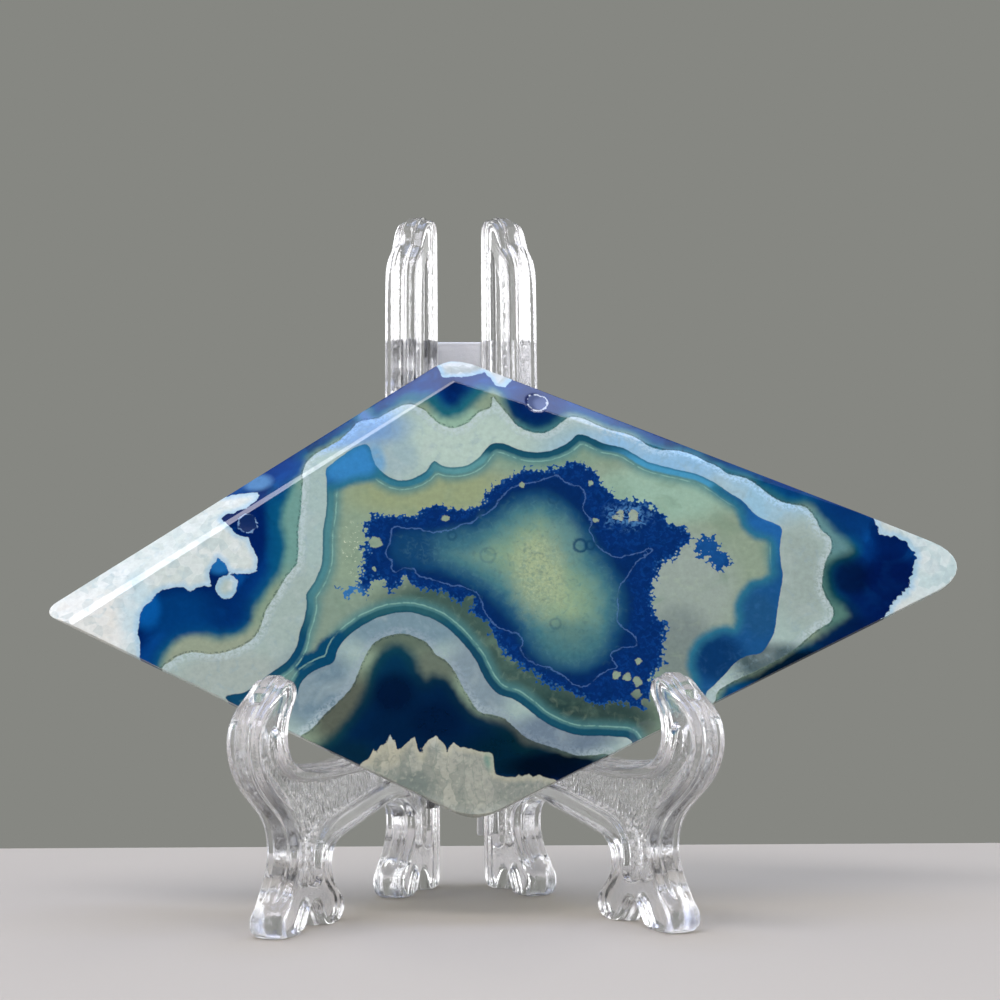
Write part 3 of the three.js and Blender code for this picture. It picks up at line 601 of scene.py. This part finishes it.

# Outside the lace: tan and green where the dye is thin, then teal and navy where it is deep, and painted shade,
# near black, along the lower-right edge
tan = tinted(
    "#869a82",
    ((-31, -5.2), (8, 3), "#959f88", 0.9), ((-20.5, 9), (3, 7), "#6a988f", 0.9),
    ((-0.4, 21.3), (4, 2), "#8eb09a", 0.9), ((44, 5.5), (4, 4.5), "#598589", 0.9),
    ((43, -3), (3, 5), "#47746c", 0.85), ((-14.5, -14), (5, 5), "#575c50", 0.95),
    ((-8, -5.6), (5, 2), "#5a695b", 0.9), ((-4.2, -9), (3, 2.5), "#646f61", 0.95),
    ((5, -18), (7, 3), "#4a4e4b", 0.9), ((30, 15.8), (12, 4.5), "#2f6c8c", 0.9),
    ((38, 11), (4.5, 2.6), "#235468", 0.9), ((10.5, 20.2), (5, 1.8), "#37747a", 0.85),
    ((-13, 22.6), (5, 2), "#4a74b0", 0.9))
deepness = add(tree, "MapRange", {"Value": soft_deep, "From Min": 0.9, "From Max": -3.6})
dye_and_edge_shade = add(tree, "ValToRGB", {"Fac": deepness.outputs["Result"]}, stops=[
    (0.0, "#42807c"), (0.16, "#1a6474"), (0.34, "#0a4878"), (0.55, "#053572"), (0.8, "#022a66"),
    (1.0, "#022058")]).outputs["Color"]
arch_side = faded(far_from((-6, -15.5), (13, 9.5)), 1.2, 1.0)
right_side = faded(far_from((44.5, -1), (3.4, 4.5)), 1.3, 0.9)
top_side = faded(far_from((-1.5, 24), (5.5, 3.5)), 1.2, 0.9)
dye_and_edge_shade = layered(
    dye_and_edge_shade,
    ("#0b4f94", both(faded(coarse_grain, 0.5, 0.68, 0.7), faded(soft_deep, -0.6, -2.0))),
    ("#02184a", faded(coarse_grain, 0.46, 0.3, 0.5)),
    ("#042848", both(arch_side, 0.8)),
    ("#174548", both(arch_side, faded(soft_deep, -1.8, -0.1, 0.9))),
    ("#206470", both(top_side, faded(soft_deep, -2.3, -0.3, 0.9))),
    ("#0b4148", both(right_side, faded(soft_deep, -1.5, 0.0, 0.9))))
dye_and_edge_shade = tinted(
    dye_and_edge_shade,
    ((-8.5, -8.6), (3, 4), "#08364c", 0.6), ((-5, -15), (11, 6), "#031d3a", 0.8),
    ((-9.3, -12), (2.4, 2.4), "#02122f", 0.75), ((-4.6, -15.5), (3, 2.4), "#021634", 0.7),
    ((-33.5, -1.4), (5, 3), "#033c74", 0.8), ((-37.4, -0.6), (1.6, 2.4), "#0a5aa2", 0.8),
    ((-28, -1), (3, 2.6), "#022a60", 0.6), ((-22.4, 8), (1.2, 6), "#085878", 0.5),
    ((-24.8, 8.4), (1.7, 4), "#021f5a", 0.85), ((6, -19.8), (8, 3.4), "#02202c", 0.85),
    ((9, -21.5), (6, 1.8), "#010a1a", 0.9), ((45.6, -0.6), (2.6, 2.6), "#02102e", 0.8),
    ((50.6, -1.2), (3.4, 3.6), "#021548", 0.85), ((47, -4.6), (3.4, 2.4), "#02164a", 0.75),
    ((9.5, 22.5), (4, 3), "#021046", 0.7), ((45, 7), (5, 2.8), "#073064", 0.75),
    # painted shade: the patch at (43.5, -7.4), first on this line, and the near-black one at (37, -11), first
    # on the next, darken the lower-right edge
    ((43.5, -7.4), (5.5, 2.2), "#02123a", 0.85), ((-14.8, -19.6), (3.6, 2.4), "#07283a", 0.85),
    ((37, -11), (12, 2.2), "#000712", 0.9), ((-28.8, 4.4), (1.5, 1.2), "#1f6aa8", 0.9),
    ((-20, 16.2), (4, 1.6), "#0a3f8a", 0.6), ((-24.2, 15), (1.7, 1.2), "#5f93c4", 0.75))
specks = both(faded(fine_lace, 0.02, 0.12), faded(fine_lace, 0.36, 0.2), faded(small_grain, 0.42, 0.56, 0.55))
outside = layered(tan, (dye_and_edge_shade, faded(soft_deep, 1.0, -0.5)), ("#2f4448", specks))

# Clear quartz with drusy edges: white at the left, grey and splintery at the low tip, where its crystal faces
# get painted light and shade cell by cell
crystal = tinted(
    "#cdd5ce",
    ((-45, -2), (7, 4.5), "#e2e1d8", 0.9), ((-33, 6), (8, 4), "#cbd6cf", 0.8),
    ((-38.6, -1), (2.2, 5), "#b4d8e4", 0.5), ((55, 1), (5, 5), "#bfd3d1", 0.9),
    ((1, 28.6), (7, 3), "#999f90", 0.9), ((-28.2, 1.7), (1.5, 1.5), "#acbcb3", 0.9),
    ((-8, -21), (5, 4), "#989b8e", 0.95), ((-1, -22.5), (6, 5), "#a4a597", 0.95),
    ((6, -24), (5, 2.5), "#989a90", 0.95), ((-7.6, -23), (2.4, 1.8), "#6f7b76", 0.8),
    ((-11.2, -19.2), (2.6, 1.7), "#b7b39c", 0.85), ((1.45, -19.9), (0.85, 1.8), "#57897c", 0.85))
upright = add(tree, "VectorMath", {0: place, 1: (1.0, 0.3, 1.0)}, operation="MULTIPLY").outputs[0]
bent = add(tree, "TexNoise", {"Vector": place, "Scale": 0.5, "Detail": 4.0}).outputs["Color"]
upright = add(tree, "VectorMath", {0: bent, 1: (1.6, 1.6, 0.0), 2: upright},
              operation="MULTIPLY_ADD").outputs[0]
splinters = add(tree, "TexVoronoi", {"Vector": upright, "Scale": 0.9}, feature="DISTANCE_TO_EDGE",
                voronoi_dimensions="2D").outputs["Distance"]
facet_light_and_shade, chips = [add(tree, "TexVoronoi", {"Vector": spots, "Scale": 0.9},
                     voronoi_dimensions="2D").outputs["Color"] for spots in (upright, place)]
for where, value, grain, start, end, most in (
        (above_tip, "#e9ebe6", coarse_grain, 0.52, 0.66, 0.4),
        (above_tip, "#a8c0c4", middle_grain, 0.45, 0.3, 0.4),
        # painted light and shade: at the low tip each crystal cell is made lighter or darker as light would
        # fall on its face
        (low_tip, "#7c857b", facet_light_and_shade, 0.35, 0.65, 0.4), (low_tip, "#b9b9a8", facet_light_and_shade, 0.4, 0.2, 0.35),
        (low_tip, "#76817a", flake_grain, 0.47, 0.33, 0.4), (low_tip, "#c2c1ae", flake_grain, 0.54, 0.68, 0.35),
        (low_tip, "#6f7f74", splinters, 0.08, 0.0, 0.3), (above_tip, "#e6ebe8", chips, 0.5, 0.75, 0.35),
        (above_tip, "#a9bfc2", chips, 0.35, 0.15, 0.3)):
    crystal = over(crystal, value, both(faded(grain, start, end, most), where))
crystal = over(crystal, over("#8cbcd8", "#bdbba2", low_tip), faded(rough_quartz, -0.9, -0.05, 0.6))

# The whole stone: each zone over the last, a faint mottling of all, and the two pits in the bevels, with
# painted highlights on their rims
stone = layered(inner, (lace_white_and_edge_shade, faded(fine_ring, -0.05, 0.07)), (outside, faded(fine_lace, -0.02, 0.1)),
                (crystal, faded(rough_quartz, 0.05, -0.06)))
mottle = add(tree, "TexNoise", {"Vector": place, "Scale": 1.4, "Detail": 6.0, "Roughness": 0.65})
lightness = add(tree, "MapRange", {"Value": mottle.outputs["Fac"], "From Min": 0.3, "From Max": 0.7,
                                   "To Min": 0.9, "To Max": 1.08}).outputs["Result"]
stone = add(tree, "VectorMath", {0: stone, 3: lightness}, operation="SCALE").outputs[0]
in_pit = 0.0
# Painted highlights on the pit rims; the left pit's floor is navy like the stone around it, the top pit's
# grey-lilac floor is a painted sheen of the skylight
for (middle, radius, _), pit_floor_and_sheen, pit_rim_highlight in zip(PITS.values(), ("#08285a", "#4d5a80"),
                                                   ("#86a8cc", "#d5dee6")):
    away = wandering(far_from(middle), 1.5, 0.4)
    inside = faded(away, radius + 0.1, radius - 0.15)
    rim = both(faded(away, radius + 0.1, radius), faded(away, radius - 0.2, radius - 0.06))
    stone = layered(stone, (pit_floor_and_sheen, both(inside, 0.85)),
                    (pit_rim_highlight, both(rim, faded(middle_grain, 0.44, 0.54, 0.8))))
    in_pit = add(tree, "Math", {0: inside, 1: in_pit}, operation="ADD").outputs[0]
tree.links.new(stone, shader.inputs["Base Color"])
polish = add(tree, "MapRange", {"Value": in_pit, "To Min": 0.06, "To Max": 0.2})
tree.links.new(polish.outputs["Result"], shader.inputs["Roughness"])
shader.inputs["IOR"].default_value = 1.54
slab.data.materials.append(agate)
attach(slab, "root")
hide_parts("agate_slab")

# ----- clear easel leaves -----
# Display easel: two identical leaves injection moulded in clear polystyrene, each with a bead and a middle
# ridge round its edge and thinner hammered webs. Two links behind the posts clip them into a V.

LEAF_ANGLE = 25.0
LEAF_GAP = 5.2
LEAF_THICK = 4.3
WIDEST_INSET = 0.8
BEND_SHARE = 0.65
LEAST_ROOM = 0.2
EDGE_STEP = 0.45
WEB_STEPS = (0.15, 0.22)
PEBBLE_SIZE = (0.4, 0.68)
PEBBLE_HEIGHT = 0.09
PEBBLE_RADIUS = 0.6
TOE_TOP = 4.3
TOE_BLEND = 0.8
TOE_SPANS = ((8, 14), (38, 60))
LEAF_TOP = 84.74
SLOTS = (((45.6, 25.7), 0.65), ((4.8, 81.4), 0.9))
SLOT_DEPTH = 0.6
LINK_THICK = 1.6
LINK_SOFT = 0.25
ROOT_SOFT = 0.2
LINK_Y = 2.6
LOWER_LINK = (9.9, 16.3)
UPPER_LINK = (62.6, 69.1)
LINK_RIGHT_X = 5.8
LINK_ROOT_X = 3.6
LINK_ROOT_Y = 0.55
PIN_X = -4.5
PIN_RADIUS = 1.05
SOCKET_BORE = 1.35
SOCKET_RADIUS = 1.95
SOCKET_MOUTH = 42.0
SOCKET_FOOT_LOW = (-5.5, 0.2)
SOCKET_FOOT_HIGH = (-3.5, 1.15)
SOCKET_FOOT_SOFT = 0.15
TAB_X = 2.05
TAB_BOTTOM = 6.1
TAB_TOP = 10.4

# Outline of a leaf laid flat: millimetres forward from its rear edge, and up from the table
FOOT_EDGE = [
    (0.1, 1.7), (0.25, 0.8), (0.7, 0.2), (1.5, 0), (3.1, 0), (3.9, 0.5), (4.5, 1.9), (5.3, 2.9), (6.1, 2.5),
    (6.8, 1.2), (7.5, 0.2), (8.3, 0), (9.9, 0), (11.1, 0.4), (11.7, 1.5), (11.6, 2.6), (10.9, 3.5),
    (9.8, 4.6), (8.7, 5.9), (8, 7.4), (7.8, 8.9), (8.1, 10.2), (9, 11.2), (10.6, 11.9), (12.8, 12.2),
    (15.2, 12), (19, 11.3), (24, 10.35), (27.6, 9.65), (29.4, 9.1), (30.5, 8.3), (31, 7.2), (30.9, 6),
    (30.3, 4.8), (29.3, 3.8), (28.2, 2.8), (27.8, 1.7), (28.3, 0.6), (29.5, 0), (31.7, 0), (32.8, 0.5),
    (33.7, 1.7), (34.5, 2.7), (35.3, 3), (36.2, 2.7), (37, 1.7), (37.9, 0.5), (39.1, 0), (42, 0),
]
FRONT_LEG_EDGE = [
    (43.1, 0.4), (43.65, 1.4), (43.35, 2.5), (42.4, 3.5), (41.2, 4.8), (40.2, 6.4), (39.5, 8.2),
    (39.5, 9.9), (40.1, 11.6), (41.5, 13.2), (43.4, 14.6), (45.5, 16.1), (47.4, 18), (48.5, 20.2),
    (48.6, 22.1), (47.9, 23.8), (46.6, 25.1), (45, 26.1), (43.8, 26.8),
]
HOOK_AND_SEAT_EDGE = [
    (42.7, 27.6), (41.5, 28.1), (40.4, 27.9), (39.7, 27.1), (39.8, 26), (40.6, 24.9), (41.4, 23.6),
    (41.8, 22.1), (41.5, 20.6), (40.5, 19.3), (38.9, 18.5), (36, 18), (33, 17.8), (30, 17.7), (27, 17.75),
    (24, 17.9), (20.5, 18), (17, 18.2), (14, 18.8), (11.9, 20.3), (10.3, 23), (9.2, 27), (8.5, 33),
]
POST_EDGE = [
    (8, 43), (7.85, 54), (7.55, 65), (7.4, 74.8), (7.25, 77.1), (6.75, 78.6), (6, 79.6), (5.3, 80.4),
    (4.85, 81.4), (4.3, 82.6), (3.4, 83.6), (2.3, 84.1), (1.2, 84.3), (0.45, 83.9), (0.1, 83),
]
REAR_EDGE = [(0, 80), (0, 60), (0, 40), (0, 20), (0, 4)]

# Thinner webs, sunk into both faces
POST_WEB = [
    (2.8, 6.1), (3.6, 5.4), (5, 5.6), (5.9, 6.6), (5.9, 9), (6.6, 11.6), (8.8, 13.4), (11, 14.4),
    (12, 15.6), (11, 17.6), (9.4, 19.6), (8, 22.6), (7.1, 27), (6.6, 33), (6.2, 44), (5.9, 56), (5.5, 67),
    (5.3, 74.6), (5, 76.6), (4.1, 78.4), (3.4, 80.1), (2.9, 80.6), (2.6, 79.8), (2.7, 75), (2.8, 66),
    (2.8, 52), (2.8, 36), (2.8, 20),
]
BODY_WEB = [
    (15.5, 14.5), (20, 13.6), (25, 12.7), (29.6, 11.8), (32, 10.9), (33.7, 9.4), (34.2, 7.4), (33.9, 5.6),
    (34.5, 4.9), (36.4, 5), (37.7, 5.7), (37.9, 7.8), (37.8, 10), (38.4, 12.3), (39.8, 14.5), (41.9, 16.3),
    (44.2, 18.2), (46, 20.2), (46.4, 22), (45.5, 23.2), (44.4, 22.6), (43.6, 20.6), (42.4, 18.7),
    (40, 17.3), (36.2, 16.7), (30, 16.5), (24, 16.6), (18, 16.4),
]

# Sections across the thickness, from face to middle: how far out from the outline, and how deep
EDGE_SECTION = [(-0.8, 0), (-0.62, 0), (-0.34, 0.05), (-0.12, 0.2), (-0.01, 0.46), (0, 0.8), (0, 1.14),
                (0.05, 1.27), (0.2, 1.34), (0.36, 1.38), (0.44, 1.5), (0.45, 1.8), (0.45, 2.15)]
TOE_SECTION = [(-0.8, 0), (-0.62, 0), (-0.34, 0.07), (-0.1, 0.26), (0.08, 0.52), (0.18, 0.8), (0.24, 1.05),
               (0.28, 1.27), (0.3, 1.42), (0.32, 1.6), (0.33, 1.78), (0.34, 1.96), (0.34, 2.15)]
WEB_SECTION = [(-0.3, 0), (-0.18, 0), (-0.07, 0.04), (0.0, 0.15), (0.05, 0.45), (0.13, 0.68), (0.28, 0.8)]


def evenly(path, step):
    """The same closed path with its points a step apart."""
    closed = np.vstack([path, path[:1]])
    lengths = np.concatenate([[0], np.cumsum(np.hypot(*np.diff(closed, axis=0).T))])
    at = np.linspace(0, lengths[-1], int(lengths[-1] / step), endpoint=False)
    return np.stack([np.interp(at, lengths, closed[:, axis]) for axis in (0, 1)], axis=1)


def sideways(path):
    """Unit directions that point out of a closed path that runs anticlockwise."""
    along = np.roll(path, -1, axis=0) - np.roll(path, 1, axis=0)
    along /= np.hypot(*along.T)[:, None]
    return np.stack([along[:, 1], -along[:, 0]], axis=1)


def inset_room(path, wanted):
    """The part of a wanted inset that each point of an anticlockwise path has room for in its bends."""
    out = sideways(path)
    gap = np.hypot(*(np.roll(path, -2, axis=0) - np.roll(path, 2, axis=0)).T)
    before, after = np.roll(out, 2, axis=0), np.roll(out, -2, axis=0)
    turn = np.arcsin(np.clip(before[:, 0] * after[:, 1] - before[:, 1] * after[:, 0], -1, 1))
    room = np.clip(BEND_SHARE * gap / np.maximum(turn, 1e-3) / wanted, LEAST_ROOM, 1)
    room = np.min([np.roll(room, k) for k in range(-3, 4)], axis=0)
    return np.mean([np.roll(room, k) for k in range(-3, 4)], axis=0)


def sweep_rim(bm, path, section, other=None, share=None, outward=1.0):
    """Draws a section along a closed path by extruding its edges; returns the first and last loops."""
    order = bm.verts.layers.int.get("order") or bm.verts.layers.int.new("order")
    out = sideways(path)
    room = inset_room(path, WIDEST_INSET)
    first = []
    for i in range(len(path)):
        vert = bm.verts.new((0, 0, 0))
        vert[order] = i
        first.append(vert)
    edges = [bm.edges.new((first[i - 1], first[i])) for i in range(len(first))]
    first_edges = edges
    verts = first
    for step, (reach, depth) in enumerate(section):
        if step:
            grown = bmesh.ops.extrude_edge_only(bm, edges=edges)["geom"]
            verts = [g for g in grown if isinstance(g, bmesh.types.BMVert)]
            edges = [g for g in grown if isinstance(g, bmesh.types.BMEdge)
                     and g.verts[0] in set(verts) and g.verts[1] in set(verts)]
        for vert in verts:
            i = vert[order]
            r, d = reach, depth
            if other is not None:
                r += (other[step][0] - reach) * share[i]
                d += (other[step][1] - depth) * share[i]
            if r * outward < 0:
                r *= room[i]
            elif reach > 0.4 and any(math.dist(path[i], middle) < half for middle, half in SLOTS):
                r -= SLOT_DEPTH
            spot = path[i] + out[i] * r * outward
            vert.co = (spot[0], min(max(spot[1], 0.0), LEAF_TOP), d)
    return first_edges, edges


def leaf_mesh():
    """One leaf laid flat: x forward, y up, z through the thickness."""
    bm = bmesh.new()
    outline = FOOT_EDGE + FRONT_LEG_EDGE + HOOK_AND_SEAT_EDGE + POST_EDGE + REAR_EDGE
    path = evenly(smooth_path(outline, count=12), EDGE_STEP)
    toe = np.clip((TOE_TOP - path[:, 1]) / TOE_BLEND, 0, 1)
    toe *= np.any([(path[:, 0] > start) & (path[:, 0] < end) for start, end in TOE_SPANS], axis=0)
    face_loop, _ = sweep_rim(bm, path, EDGE_SECTION, TOE_SECTION, toe)
    face_edges = list(face_loop)
    floor_edges = []
    for web in (POST_WEB, BODY_WEB):
        web_path = evenly(smooth_path(web, count=8), EDGE_STEP)
        top, bottom = sweep_rim(bm, web_path, WEB_SECTION, outward=-1.0)
        face_edges += top
        floor_edges.append(bottom)
    bmesh.ops.triangle_fill(bm, use_beauty=True, edges=face_edges, normal=(0, 0, -1))
    floor = []
    for edges in floor_edges:
        floor += bmesh.ops.triangle_fill(bm, use_beauty=True, edges=edges, normal=(0, 0, -1))["geom"]
    floor += list({v for f in floor if isinstance(f, bmesh.types.BMFace) for v in f.verts})
    floor += [e for edges in floor_edges for e in edges]
    reach = np.array([v.co for v in floor if isinstance(v, bmesh.types.BMVert)])
    for axis, normal in ((0, Vector((1, 0, 0))), (1, Vector((0, 1, 0)))):
        for at in np.arange(reach[:, axis].min() + WEB_STEPS[axis], reach[:, axis].max(), WEB_STEPS[axis]):
            floor = bmesh.ops.bisect_plane(bm, geom=floor, dist=1e-4, plane_co=normal * float(at),
                                           plane_no=normal)["geom"]
    floor_faces = {f for f in floor if isinstance(f, bmesh.types.BMFace)}
    hammered = bm.verts.layers.int.new("hammered")
    for vert in {v for f in floor_faces for v in f.verts}:
        vert[hammered] = int(all(f in floor_faces for f in vert.link_faces))
    copied = bmesh.ops.duplicate(bm, geom=bm.verts[:] + bm.edges[:] + bm.faces[:])["geom"]
    turned = [g for g in copied if isinstance(g, bmesh.types.BMVert)]
    bmesh.ops.scale(bm, verts=turned, vec=(1, 1, -1))
    bmesh.ops.translate(bm, verts=turned, vec=(0, 0, LEAF_THICK))
    middle = [v for v in bm.verts if abs(v.co.z - LEAF_THICK / 2) < 1e-4]
    bmesh.ops.remove_doubles(bm, verts=middle, dist=1e-4)
    bmesh.ops.recalc_face_normals(bm, faces=bm.faces[:])
    for vert in bm.verts:
        if vert[hammered]:
            side = -1 if vert.co.z < LEAF_THICK / 2 else 1
            spot = Vector((vert.co.x / PEBBLE_SIZE[0], vert.co.y / PEBBLE_SIZE[1], 7.0 * side))
            nearest = noise.voronoi(spot)[0][0]
            vert.co.z += side * PEBBLE_HEIGHT * max(0.0, 1 - (nearest / PEBBLE_RADIUS) ** 2)
    return bm


def block(bm, low, high, soft):
    """A box from its low corner to its high corner, with its edges rounded."""
    low, high = Vector(low), Vector(high)
    made = bmesh.ops.create_cube(bm, size=1.0)["verts"]
    bmesh.ops.scale(bm, verts=made, vec=high - low)
    bmesh.ops.translate(bm, verts=made, vec=(low + high) / 2)
    edges = list({e for v in made for e in v.link_edges})
    made = bmesh.ops.bevel(bm, geom=edges, offset=soft, offset_type="OFFSET", segments=3, profile=0.5,
                           affect="EDGES", material=-1)
    for face in {f for v in made["verts"] for f in v.link_faces}:
        face.material_index = 1


def pin(bm, low, high):
    """The upright round end of a link."""
    made = bmesh.ops.create_cone(bm, cap_ends=True, segments=32, radius1=PIN_RADIUS, radius2=PIN_RADIUS,
                                 depth=high - low)["verts"]
    bmesh.ops.translate(bm, verts=made, vec=(PIN_X, LINK_Y, (low + high) / 2))


def socket(bm, low, high):
    """An upright C that the round end of a link snaps into, and the foot that joins it to the post."""
    mouth = math.radians(SOCKET_MOUTH)
    across = [bm.verts.new((PIN_X + radius * math.cos(mouth), LINK_Y + radius * math.sin(mouth), low))
              for radius in (SOCKET_BORE, SOCKET_RADIUS)]
    wall = bm.edges.new(across)
    bmesh.ops.spin(bm, geom=across + [wall], cent=(PIN_X, LINK_Y, low), axis=(0, 0, 1),
                   angle=2 * math.pi - 2 * mouth, steps=28)
    flat, reached = set(wall.link_faces), 0
    while len(flat) > reached:
        reached = len(flat)
        flat |= {f for face in flat for e in face.edges for f in e.link_faces}
    risen = bmesh.ops.extrude_face_region(bm, geom=list(flat), use_keep_orig=True)["geom"]
    top = [g for g in risen if isinstance(g, bmesh.types.BMVert)]
    bmesh.ops.translate(bm, verts=top, vec=(0, 0, high - low))
    bmesh.ops.recalc_face_normals(bm, faces=list({f for v in top for f in v.link_faces} | flat))
    block(bm, (*SOCKET_FOOT_LOW, low), (*SOCKET_FOOT_HIGH, high), SOCKET_FOOT_SOFT)


# Polystyrene as it comes out of a polished mould: clear and glassy, with a faint milky haze in the thick parts
# and a fine grain from the mould. The links are matt and milky where they span the gap between the leaves.
CLEAR_FINISH = (0.96, 0.05)
MILKY_FINISH = (0.15, 0.4)
FINISH_BLEND = 0.4
finishes = []
for name, finish in (("clear_polystyrene_moulded", CLEAR_FINISH),
                     ("frosted_polystyrene_moulded", MILKY_FINISH)):
    plastic, tree, shader = new_material(name)
    shader.inputs["Base Color"].default_value = colour("#fdfdff")
    shader.inputs["Transmission Weight"].default_value, shader.inputs["Roughness"].default_value = finish
    shader.inputs["IOR"].default_value = 1.55
    spots = add(tree, "TexCoord").outputs["Object"]
    grain = add(tree, "TexNoise", {"Vector": spots, "Scale": 1600.0, "Detail": 3.0, "Roughness": 0.6})
    relief = add(tree, "Bump", {"Height": grain.outputs["Fac"], "Strength": 0.45, "Distance": 0.00009})
    tree.links.new(relief.outputs["Normal"], shader.inputs["Normal"])
    finishes.append(plastic)
off_middle = off(add(tree, "SeparateXYZ", {0: spots}).outputs["X"], -FOOTPRINT_MIDDLE[0] * MM)
for name, milky, clear in zip(("Transmission Weight", "Roughness"), MILKY_FINISH, CLEAR_FINISH):
    tree.links.new(add(tree, "MapRange", {
        "Value": off_middle, "From Min": LEAF_GAP / 2 * MM, "From Max": (LEAF_GAP / 2 + FINISH_BLEND) * MM,
        "To Min": milky, "To Max": clear}).outputs["Result"], shader.inputs[name])

blank = finished_mesh("leaf_blank", leaf_mesh())
turn = math.radians(LEAF_ANGLE)
to_origin = Matrix.Scale(MM, 4) @ Matrix.Translation(-Vector(FOOTPRINT_MIDDLE))
link_front, link_back = LINK_Y - LINK_THICK / 2, LINK_Y + LINK_THICK / 2
for side, name in ((-1, "left"), (1, "right")):
    bm = bmesh.new()
    bm.from_mesh(blank)
    stand = Matrix(((side * math.sin(turn), 0, side * math.cos(turn), side * LEAF_GAP / 2),
                    (-math.cos(turn), 0, math.sin(turn), 0), (0, 1, 0, 0), (0, 0, 0, 1)))
    bmesh.ops.transform(bm, matrix=stand, verts=bm.verts[:])
    if side > 0:
        bmesh.ops.reverse_faces(bm, faces=bm.faces[:])
        for low, high in (LOWER_LINK, UPPER_LINK):
            block(bm, (PIN_X, link_front, low), (LINK_RIGHT_X, link_back, high), LINK_SOFT)
            block(bm, (LINK_ROOT_X, LINK_ROOT_Y, low), (LINK_RIGHT_X, LINK_Y, high), ROOT_SOFT)
            pin(bm, low, high)
        block(bm, (TAB_X, link_front, TAB_BOTTOM), (LINK_RIGHT_X, link_back, TAB_TOP), LINK_SOFT)
    else:
        for low, high in (LOWER_LINK, UPPER_LINK):
            socket(bm, low, high)
    bmesh.ops.transform(bm, matrix=to_origin, verts=bm.verts[:])
    leaf = into_scene(f"easel_{name}_leaf_clear", finished_mesh(f"easel_{name}_leaf_clear", bm))
    leaf.data.shade_smooth()
    for finish in finishes:
        leaf.data.materials.append(finish)
    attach(leaf, "root")
    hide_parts(f"stand_{name}_leaf")

# ----- floor, light and camera -----
# A pale sheet of paper that ends a hand behind the easel, in a grey room with soft white light to both sides.

FLOOR_HALF = 1.5
FLOOR_BACK = 0.06
FLOOR_TURN = -3.3
floor_bm = bmesh.new()
made = bmesh.ops.create_grid(floor_bm, x_segments=1, y_segments=1, size=FLOOR_HALF)["verts"]
bmesh.ops.translate(floor_bm, verts=made, vec=(0, FLOOR_BACK - FLOOR_HALF, 0))
bmesh.ops.rotate(floor_bm, verts=made, cent=(0, 0, 0), matrix=Matrix.Rotation(math.radians(FLOOR_TURN), 3, "Z"))
floor = into_scene("studio_floor", finished_mesh("studio_floor", floor_bm))
paper, tree, shader = new_material("pale_studio_paper")
shader.inputs["Base Color"].default_value = colour("#b8b1a6")
shader.inputs["Roughness"].default_value = 0.7
floor.data.materials.append(paper)

# Directions in the room, as parts of a unit vector: white walls from WALL_EDGE on, with a dark gap beside each
# and a bright strip in it, both low down; a soft blue skylight overhead; and one dark patch, up in front,
# where the polished face would mirror the room
WALL_EDGE = (0.45, 0.62)
LOW_DOWN = (0.7, 0.5)
SKYLIGHT = (-0.016, 0.1, 0.995)
SKYLIGHT_EDGE = 0.921
SKYLIGHT_STRENGTH = 3.9
DARK_PATCH = (0.05, -0.8, 0.6)
world = bpy.data.worlds.new("studio_surround")
bpy.context.scene.world = world
world.use_nodes = True
sky = world.node_tree
toward = add(sky, "TexCoord").outputs["Generated"]
level = add(sky, "SeparateXYZ", {0: toward}).outputs
sides = off(level["X"])
low_down = faded(level["Z"], *LOW_DOWN)
above, ahead = [add(sky, "VectorMath", {0: toward, 1: way}, operation="DOT_PRODUCT").outputs["Value"]
                for way in (SKYLIGHT, DARK_PATCH)]
room = layered(
    "#868782",
    ("#ffffff", faded(sides, *WALL_EDGE)),
    ("#454642", both(faded(sides, 0.27, 0.31), faded(sides, 0.45, 0.4), low_down, 0.8)),
    ("#0b0c0c", faded(ahead, 0.84, 0.94)),
    ("#c2d2ff", faded(above, SKYLIGHT_EDGE, 0.951)))
sky.links.new(room, sky.nodes["Background"].inputs["Color"])
glow = add(sky, "MapRange", {"Value": above, "From Min": SKYLIGHT_EDGE, "From Max": 0.956, "To Min": 1.0,
                             "To Max": SKYLIGHT_STRENGTH}, interpolation_type="SMOOTHSTEP")
glow = glow.outputs["Result"]
for more in (faded(sides, *WALL_EDGE, 0.6),
             both(faded(sides, 0.5, 0.53), faded(sides, 0.61, 0.58, 3.0), low_down)):
    glow = add(sky, "Math", {0: more, 1: glow}, operation="ADD").outputs[0]
sky.links.new(glow, sky.nodes["Background"].inputs["Strength"])

# One wide soft light, high in front and a little to the left
LIGHT_AT = Vector((-0.14, -0.32, 0.62))
LIGHT_AIM = Vector((0, 0, 0.04))
LIGHT_SIZE = (0.6, 0.18)
LIGHT_WATTS = 2.3
lamp = bpy.data.lights.new("front_strip", "AREA")
lamp.shape = "RECTANGLE"
lamp.size, lamp.size_y = LIGHT_SIZE
lamp.energy = LIGHT_WATTS
lamp.color = colour("#f6f4ff")[:3]
light = into_scene("front_strip", lamp)
light.location = LIGHT_AT
light.rotation_euler = (LIGHT_AIM - LIGHT_AT).to_track_quat("-Z", "Y").to_euler()

CAMERA_AT = (-16.32, -262.66, 40.4)
CAMERA_YAW = -3.32
CAMERA_PITCH = 1.7
CAMERA_ROLL = -0.32
LENS_PIXELS = 2226.59
camera_data = bpy.data.cameras.new("camera")
camera_data.sensor_width = 36.0
camera_data.lens = 36.0 * LENS_PIXELS / 1000
camera_data.clip_start = 0.01
camera = into_scene("camera", camera_data)
camera.matrix_world = (Matrix.Translation(Vector(CAMERA_AT) * MM)
                       @ Matrix.Rotation(math.radians(CAMERA_YAW), 4, "Z")
                       @ Matrix.Rotation(math.radians(90 + CAMERA_PITCH), 4, "X")
                       @ Matrix.Rotation(math.radians(CAMERA_ROLL), 4, "Z"))
bpy.context.scene.camera = camera
bpy.context.scene.view_settings.view_transform = "Standard"
